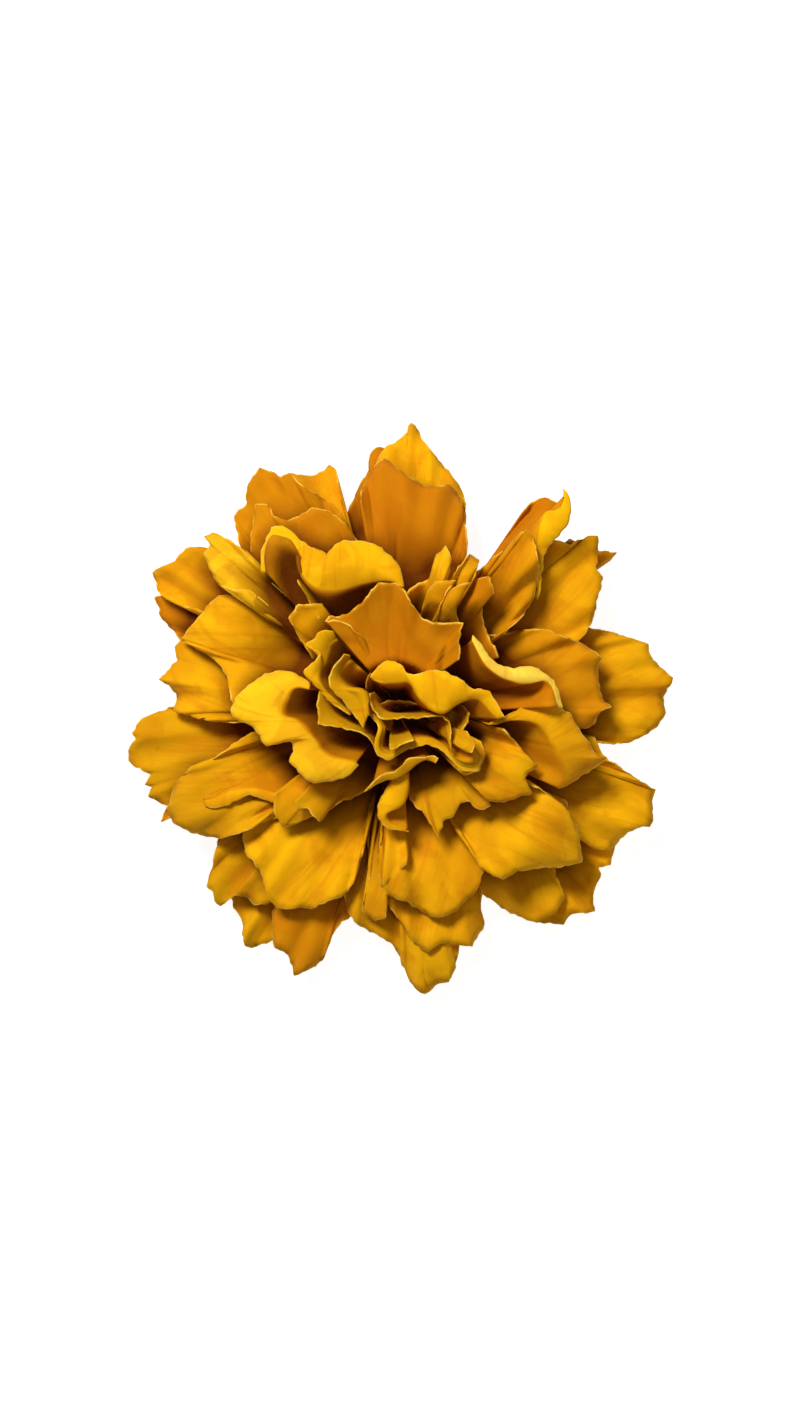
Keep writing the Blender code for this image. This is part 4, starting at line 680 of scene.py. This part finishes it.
def ring_grid(radius, z):
    """The flat ring of a sheet, from the peg hole to its edge, as rows round the axis."""
    angle = np.linspace(0.0, 2 * math.pi, 61)
    rows = np.linspace(PEG_HOLE_RADIUS, radius, 4)[:, None]
    return np.stack([rows * np.cos(angle), rows * np.sin(angle), np.full((4, 61), z)], axis=-1)


def mesh_piece(name, points, faces, material, uv=None, values=None):
    """A smooth mesh object from arrays: points in millimetres, faces as corner numbers."""
    mesh = bpy.data.meshes.new(name)
    mesh.vertices.add(len(points))
    mesh.vertices.foreach_set("co", (points * MM).ravel())
    corners = faces.shape[1]
    mesh.loops.add(faces.size)
    mesh.loops.foreach_set("vertex_index", faces.ravel())
    mesh.polygons.add(len(faces))
    mesh.polygons.foreach_set("loop_start", np.arange(len(faces)) * corners)
    mesh.update(calc_edges=True)
    mesh.validate()
    if uv is not None:
        mesh.uv_layers.new(name="UVMap").data.foreach_set("uv", uv[faces.ravel()].ravel())
    for key, numbers in (values or {}).items():
        mesh.attributes.new(key, "FLOAT", "POINT").data.foreach_set("value", numbers)
    mesh.shade_smooth()
    piece = bpy.data.objects.new(name, mesh)
    bpy.context.scene.collection.objects.link(piece)
    mesh.materials.append(material)
    return piece


def laid_sheet(number, ring_z, petals, below, rng):
    """The surfaces of one sheet: its ring and its petals, each laid on what is below it."""
    ring_radius = FIRST_RING_RADIUS - RING_STEP * (number - 1)
    bowl = np.interp(number, BOWL_SHEETS, BOWL_POWERS)
    start = below.copy()
    ring = ring_grid(ring_radius, ring_z)
    flat = np.zeros(ring.shape[:2])
    surfaces = [(ring, flat + FAR_FROM_RIM, flat, ring[..., :2], 0.0, flat, flat)]
    for place, spec in enumerate(petals):
        root_z = ring_z + ROOT_STAGGER * (place / (len(petals) - 1) - 0.5)
        surface, from_rim, outward, woven = petal_surface(rng, ring_radius, root_z, spec, bowl)
        surface = lay_on(surface, start, below)
        mark(below, surface)
        tint = TINTS.get(spec["name"], 0.0) + rng.uniform(-0.08, 0.08)
        # Painted highlight on the outer part of the petal
        painted_highlight = PAINTED_HIGHLIGHTS.get(spec["name"], 0.0) * np.clip((outward - 0.46) / 0.34, 0.0, 1.0)
        # Painted shade that grows towards the petal's root
        shade = PAINTED_ROOT_SHADE.get(spec["name"], 0.0) * (1.0 - outward)
        surfaces.append((surface, from_rim, outward, woven, tint, painted_highlight, shade))
    return surfaces


def blurred(field, passes):
    """Repeats a mean over each cell and its neighbours."""
    for _ in range(passes):
        for axis in (0, 1):
            field = (np.roll(field, 1, axis) + field + np.roll(field, -1, axis)) / 3
    return field


def cloth_piece(name, surfaces, crown, cloth):
    """The surfaces of a sheet as one piece of thin cloth, with what its dye, painted shade and painted
    highlight depend on.
    """
    points, faces, uvs = [], [], []
    values = {"from_rim": [], "outward": [], "tint": [], "painted_highlight": [], "painted_shade_depth": []}
    first = 0
    for surface, from_rim, outward, woven, tint, painted_highlight, shade in surfaces:
        rows, columns = surface.shape[:2]
        faces.append(grid_faces(rows, columns, first))
        points.append(surface.reshape(-1, 3))
        uvs.append(woven.reshape(-1, 2))
        values["from_rim"].append(from_rim.ravel())
        values["outward"].append(outward.ravel())
        values["tint"].append(np.full(rows * columns, tint))
        values["painted_highlight"].append(painted_highlight.ravel())
        # Painted shade: how deep the cloth lies below the blurred crown, plus the painted shade towards
        # the root
        values["painted_shade_depth"].append((crown[cell_of(surface)] - surface[..., 2] + shade).ravel())
        first += rows * columns
    joined = {key: np.concatenate(each) for key, each in values.items()}
    joined_uvs = np.concatenate(uvs)
    piece = mesh_piece(name, np.concatenate(points), np.concatenate(faces), cloth, joined_uvs, joined)
    thicken = piece.modifiers.new("cloth", "SOLIDIFY")
    thicken.thickness = CLOTH_THICKNESS * MM
    thicken.offset = 0.0
    return piece


class Nodes:
    """Small helper that adds shader nodes and links them by socket name."""

    def __init__(self, name):
        self.material = bpy.data.materials.new(name)
        self.material.use_nodes = True
        self.tree = self.material.node_tree
        self.tree.nodes.clear()

    def add(self, kind, values=None, **settings):
        node = self.tree.nodes.new(kind)
        for key, value in settings.items():
            setattr(node, key, value)
        for key, value in (values or {}).items():
            if isinstance(value, bpy.types.NodeSocket):
                self.tree.links.new(value, node.inputs[key])
            else:
                node.inputs[key].default_value = value
        return node

    def number(self, kind, *values):
        return self.add("ShaderNodeMath", dict(enumerate(values)), operation=kind).outputs[0]

    def ramp(self, value, low, high, to_low=0.0, to_high=1.0):
        node = self.add("ShaderNodeMapRange", {
            "Value": value, "From Min": low, "From Max": high, "To Min": to_low, "To Max": to_high})
        return node.outputs[0]

    def mix(self, factor, one, other):
        node = self.add("ShaderNodeMix", data_type="RGBA", clamp_factor=True)
        for place, value in ((0, factor), (6, one), (7, other)):
            if isinstance(value, bpy.types.NodeSocket):
                self.tree.links.new(value, node.inputs[place])
            else:
                node.inputs[place].default_value = value
        return node.outputs[2]

    def attribute(self, name):
        return self.add("ShaderNodeAttribute", attribute_name=name).outputs["Fac"]

    def noise(self, place, scale, detail=2.0, distortion=0.0):
        node = self.add("ShaderNodeTexNoise", {
            "Vector": place, "Scale": scale, "Detail": detail, "Distortion": distortion})
        return node.outputs["Fac"]

    def bump(self, height, strength, distance, below=None):
        values = {"Height": height, "Strength": strength, "Distance": distance}
        if below is not None:
            values["Normal"] = below
        return self.add("ShaderNodeBump", values).outputs["Normal"]

    def surfaced(self, shader):
        self.add("ShaderNodeOutputMaterial", {"Surface": shader.outputs[0]})
        return self.material


YELLOW = (0.66, 0.27, 0.001, 1.0)
BRIGHT_YELLOW = (0.92, 0.45, 0.002, 1.0)
ORANGE = (0.58, 0.195, 0.0006, 1.0)
OLIVE = (0.55, 0.31, 0.002, 1.0)
# Brown of the blotches and veins, which is dye, and of the darkening towards the root, which is partly dye
# and partly painted shade
DYE_AND_SHADE_BROWN = (0.55, 0.14, 0.0008, 1.0)
# Painted shade where the cloth lies deep below the flower's crown
PAINTED_SHADE_BROWN = (0.14, 0.025, 0.0002, 1.0)
# Painted highlight colours of the petals' outer bands
LIT_YELLOW = (1.0, 0.54, 0.002, 1.0)
PAINTED_HIGHLIGHT_PALE = (1.0, 0.70, 0.07, 1.0)
CUT_EDGE = (0.96, 0.62, 0.08, 1.0)
VEIN_SCALE = (0.45, 0.035, 1.0)
FLOOR_RADIUS = 3000.0

HUB_GREENS = ((0.10, 0.19, 0.035, 1.0), (0.14, 0.25, 0.05, 1.0))
CAP_BROWNS = ((0.16, 0.05, 0.002, 1.0), (0.24, 0.08, 0.003, 1.0))

# Each petal's tint: 1 is orange and -1 is olive. It is mostly the cloth's own dye, but the strong orange
# of lobe_left, sliver_top and curled_back partly stands in for painted shade.
TINTS = {
    "orange_spoon": 0.8, "sliver_top": 0.9, "top_left_folded": 0.8, "top_left_front": 0.75,
    "top_front": 0.95, "lower_left_brown": 0.6, "top_left_back": 0.35, "right_front": 0.3,
    "bottom_bright": 0.1, "curled_back": 1.0, "left_upper": 0.2, "lobe_left": 1.1,
    "tip_lower_left": 0.7, "bottom_shaded": 0.4, "upper_right_brown": 0.9, "right_rolled_rim": 0.6,
    "right_inner_blade": 0.1, "wavy_band": 0.15, "lower_heart_ruffle": -0.5, "left_heart_ruffle": -0.4,
    "right_ruffle": -0.45, "left_ruffle": -0.35, "left_low_ruffle": -0.5, "lower_ruffle": -0.5,
    "heart_leaf": -0.6, "lower_inner_left": -0.3, "bottom": -0.3, "right": -0.1, "left_pale_low": -0.45,
    "left": -0.3, "lobe_lower_left": -0.45, "lower_left_wide": -0.25, "lower_left_inner": -0.3,
    "bottom_inner": -0.3, "lower_inner_right": -0.3, "gap_strip": -0.2, "lower_left_leaflet": 0.3,
    "centre_curl_upper": 0.8, "centre_curl_lower": 0.8,
}

# Painted shade added towards a petal's root, in millimetres on top of how deep it lies below the flower's
# crown; a negative number takes painted shade away
PAINTED_ROOT_SHADE = {
    "orange_spoon": -9.0, "top_front": 5.0, "right_inner_blade": 4.0, "pale_upper_left": 24.0,
    "top_s_curve": 18.0, "lobe_left": 36.0, "upper_right_brown": 4.0, "left_upper": 9.0,
    "top_left_folded": 6.0, "right_front": 4.0, "left_s_curve": 5.0, "bottom_shaded": 8.0,
}

# Painted highlight on the outer part of a petal, where its band or lip catches the light: 1 is a full lit
# yellow and 2 is pale
PAINTED_HIGHLIGHTS = {
    "right_rolled_rim": 2.0, "left_s_curve": 1.1, "top_s_curve": 0.7, "wavy_band": 0.8,
    "curled_upright": 0.9, "lower_left_big": 0.35, "lower_right_bright": 0.35, "top_bright": 0.3,
    "pale_upper_left": 1.1, "top_finger_left": 0.4, "right_low": 0.35, "left_bright": 0.2,
    "bottom_fold": 0.3, "left_ruffle": 0.3, "upper_right": 0.15,
}


def petal_cloth():
    """Mustard cloth: dye in blotches and veins and a tint for each petal; darkening towards the root that
    is partly dye and partly painted shade; painted shade below the crown of the flower; a painted
    highlight on the outer part of some petals; a pale cut rim, and a fine weave in the bump."""
    n = Nodes("petal_cloth")
    place = n.add("ShaderNodeTexCoord").outputs["Object"]
    woven = n.add("ShaderNodeUVMap", uv_map="UVMap").outputs["UV"]
    along_veins = n.add("ShaderNodeMapping", {"Vector": woven, "Scale": VEIN_SCALE}).outputs["Vector"]
    outward, tint, painted_highlight = (n.attribute(name) for name in ("outward", "tint", "painted_highlight"))
    colour = n.mix(n.ramp(n.noise(place, 55.0, 3.0), 0.35, 0.65), YELLOW, BRIGHT_YELLOW)
    colour = n.mix(n.ramp(tint, 0.0, 1.0), colour, ORANGE)
    colour = n.mix(n.ramp(tint, 0.0, -1.0), colour, OLIVE)
    # Painted highlight: lit yellow on the outer bands, pale on the brightest
    colour = n.mix(n.ramp(painted_highlight, 0.0, 1.0), colour, LIT_YELLOW)
    colour = n.mix(n.ramp(painted_highlight, 1.0, 2.0), colour, PAINTED_HIGHLIGHT_PALE)
    colour = n.mix(n.ramp(n.noise(place, 70.0, 4.0, 1.4), 0.5, 0.58, 0.0, 0.28), colour, DYE_AND_SHADE_BROWN)
    colour = n.mix(n.ramp(n.noise(along_veins, 1.0, 3.0), 0.56, 0.64, 0.0, 0.25), colour, DYE_AND_SHADE_BROWN)
    # Darker towards the root: partly a root dye, partly painted shade of the petals above
    colour = n.mix(n.ramp(outward, 0.8, 0.1, 0.0, 0.8), colour, DYE_AND_SHADE_BROWN)
    # Painted shade below the flower's crown
    colour = n.mix(n.ramp(n.attribute("painted_shade_depth"), 0.5, 10.0, 0.0, 0.95), colour, PAINTED_SHADE_BROWN)
    colour = n.mix(n.ramp(n.noise(place, 320.0), 0.4, 0.8, 0.0, 0.12), colour, ORANGE)
    broken = n.ramp(n.noise(place, 420.0), 0.38, 0.6)
    rim = n.number("MULTIPLY", n.ramp(n.attribute("from_rim"), 0.14, 0.42, 0.85, 0.0), broken)
    colour = n.mix(rim, colour, CUT_EDGE)
    warp, weft = (n.add("ShaderNodeTexWave", {"Vector": woven, "Scale": 0.55, "Distortion": 0.4},
                        wave_type="BANDS", bands_direction=way).outputs["Fac"] for way in "XY")
    weave = n.bump(n.number("MAXIMUM", warp, weft), 0.12, 0.08 * MM)
    crumpled = n.bump(n.noise(place, 140.0, 4.0), 0.5, 0.6 * MM, weave)
    shader = n.add("ShaderNodeBsdfPrincipled", {
        "Base Color": colour, "Roughness": 0.85, "Specular IOR Level": 0.08, "Normal": crumpled})
    glow = n.add("ShaderNodeBsdfTranslucent", {"Color": colour, "Normal": crumpled})
    both = n.add("ShaderNodeMixShader", {0: 0.15, 1: shader.outputs[0], 2: glow.outputs[0]})
    return n.surfaced(both)


def moulded_plastic(name, colours):
    """Matt plastic with a faint moulding mottle between two colours."""
    n = Nodes(name)
    mottle = n.noise(n.add("ShaderNodeTexCoord").outputs["Object"], 260.0, 3.0)
    return n.surfaced(n.add("ShaderNodeBsdfPrincipled", {
        "Base Color": n.mix(n.ramp(mottle, 0.3, 0.7), *colours),
        "Roughness": n.ramp(mottle, 0.3, 0.7, 0.42, 0.55), "Normal": n.bump(mottle, 0.2, 0.2 * MM)}))


def pale_floor():
    """A wide round floor with a glow of its own, so that the shadows on it stay faint."""
    n = Nodes("pale_floor")
    material = n.surfaced(n.add("ShaderNodeBsdfPrincipled", {
        "Base Color": (0.35, 0.35, 0.35, 1), "Roughness": 0.9, "Specular IOR Level": 0.1,
        "Emission Color": (1.0, 1.0, 1.0, 1), "Emission Strength": 0.9}))
    angle = np.linspace(0, 2 * math.pi, 65)[:-1]
    points = np.column_stack([np.cos(angle), np.sin(angle), np.zeros(64)]) * FLOOR_RADIUS
    floor = mesh_piece("floor", points, np.arange(64)[None], material)


def soft_light(name, place, size, power, colour):
    """A square area light that faces the middle of the flower."""
    data = bpy.data.lights.new(name, "AREA")
    data.shape = "SQUARE"
    data.size = size
    data.energy = power
    data.color = colour
    light = bpy.data.objects.new(name, data)
    light.location = place
    aim = Vector((0.0, 0.0, MIDDLE_HEIGHT * MM)) - light.location
    light.rotation_euler = aim.to_track_quat("-Z", "Y").to_euler()
    bpy.context.scene.collection.objects.link(light)


def studio():
    """A large soft light at the upper left, a weaker one from the right, and a pale surround."""
    soft_light("key", (-0.4, 0.6, 1.15), 0.35, 21.0, (1.0, 0.985, 0.96))
    soft_light("fill", (0.5, -0.2, 1.4), 0.9, 2.5, (1.0, 1.0, 1.0))
    world = bpy.data.worlds.new("studio")
    world.use_nodes = True
    surround = world.node_tree.nodes["Background"]
    surround.inputs["Color"].default_value = (1.0, 1.0, 1.0, 1.0)
    surround.inputs["Strength"].default_value = 0.16
    bpy.context.scene.world = world
    bpy.context.scene.view_settings.view_transform = "Standard"


def camera():
    """Straight down on the flower with a long lens, framed as the photograph is."""
    data = bpy.data.cameras.new("camera")
    data.sensor_fit = "VERTICAL"
    data.sensor_height = SENSOR
    data.lens = SENSOR * CAMERA_DISTANCE / (PHOTO_HIGH * MM_PER_PHOTO_PIXEL)
    data.clip_start, data.clip_end = 0.1, 10.0
    made = bpy.data.objects.new("camera", data)
    made.location = (VIEW_CENTRE[0] * MM, VIEW_CENTRE[1] * MM, (MIDDLE_HEIGHT + CAMERA_DISTANCE) * MM)
    bpy.context.scene.collection.objects.link(made)
    bpy.context.scene.camera = made


def main():
    """Lays the sheets from the back to the heart, dresses the nodes, and sets up the picture."""
    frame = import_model()
    rng = np.random.default_rng(SEED)
    cloth = petal_cloth()
    below = np.full((int(2 * HALF_FIELD / CELL),) * 2, NOTHING_BELOW)
    laid = []
    for number, petals in enumerate(SHEETS, start=1):
        ring_z = ring_height(frame["nodes"][f"petal_sheet_{number:02d}"])
        laid.append(laid_sheet(number, ring_z, petals, below, rng))
    # The blurred top of the flower, below which the cloth gets painted shade
    crown = blurred(np.maximum(below, 0.0), CROWN_BLUR)
    for number, surfaces in enumerate(laid, start=1):
        sheet = cloth_piece(f"cloth_sheet_{number:02d}", surfaces, crown, cloth)
        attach(sheet, "root")
        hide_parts(f"petal_sheet_{number:02d}")
    for node, colours in (("hub", HUB_GREENS), ("cap", CAP_BROWNS)):
        frame["nodes"][node].data.materials.clear()
        frame["nodes"][node].data.materials.append(moulded_plastic(node + "_plastic", colours))
    pale_floor()
    studio()
    camera()


main()
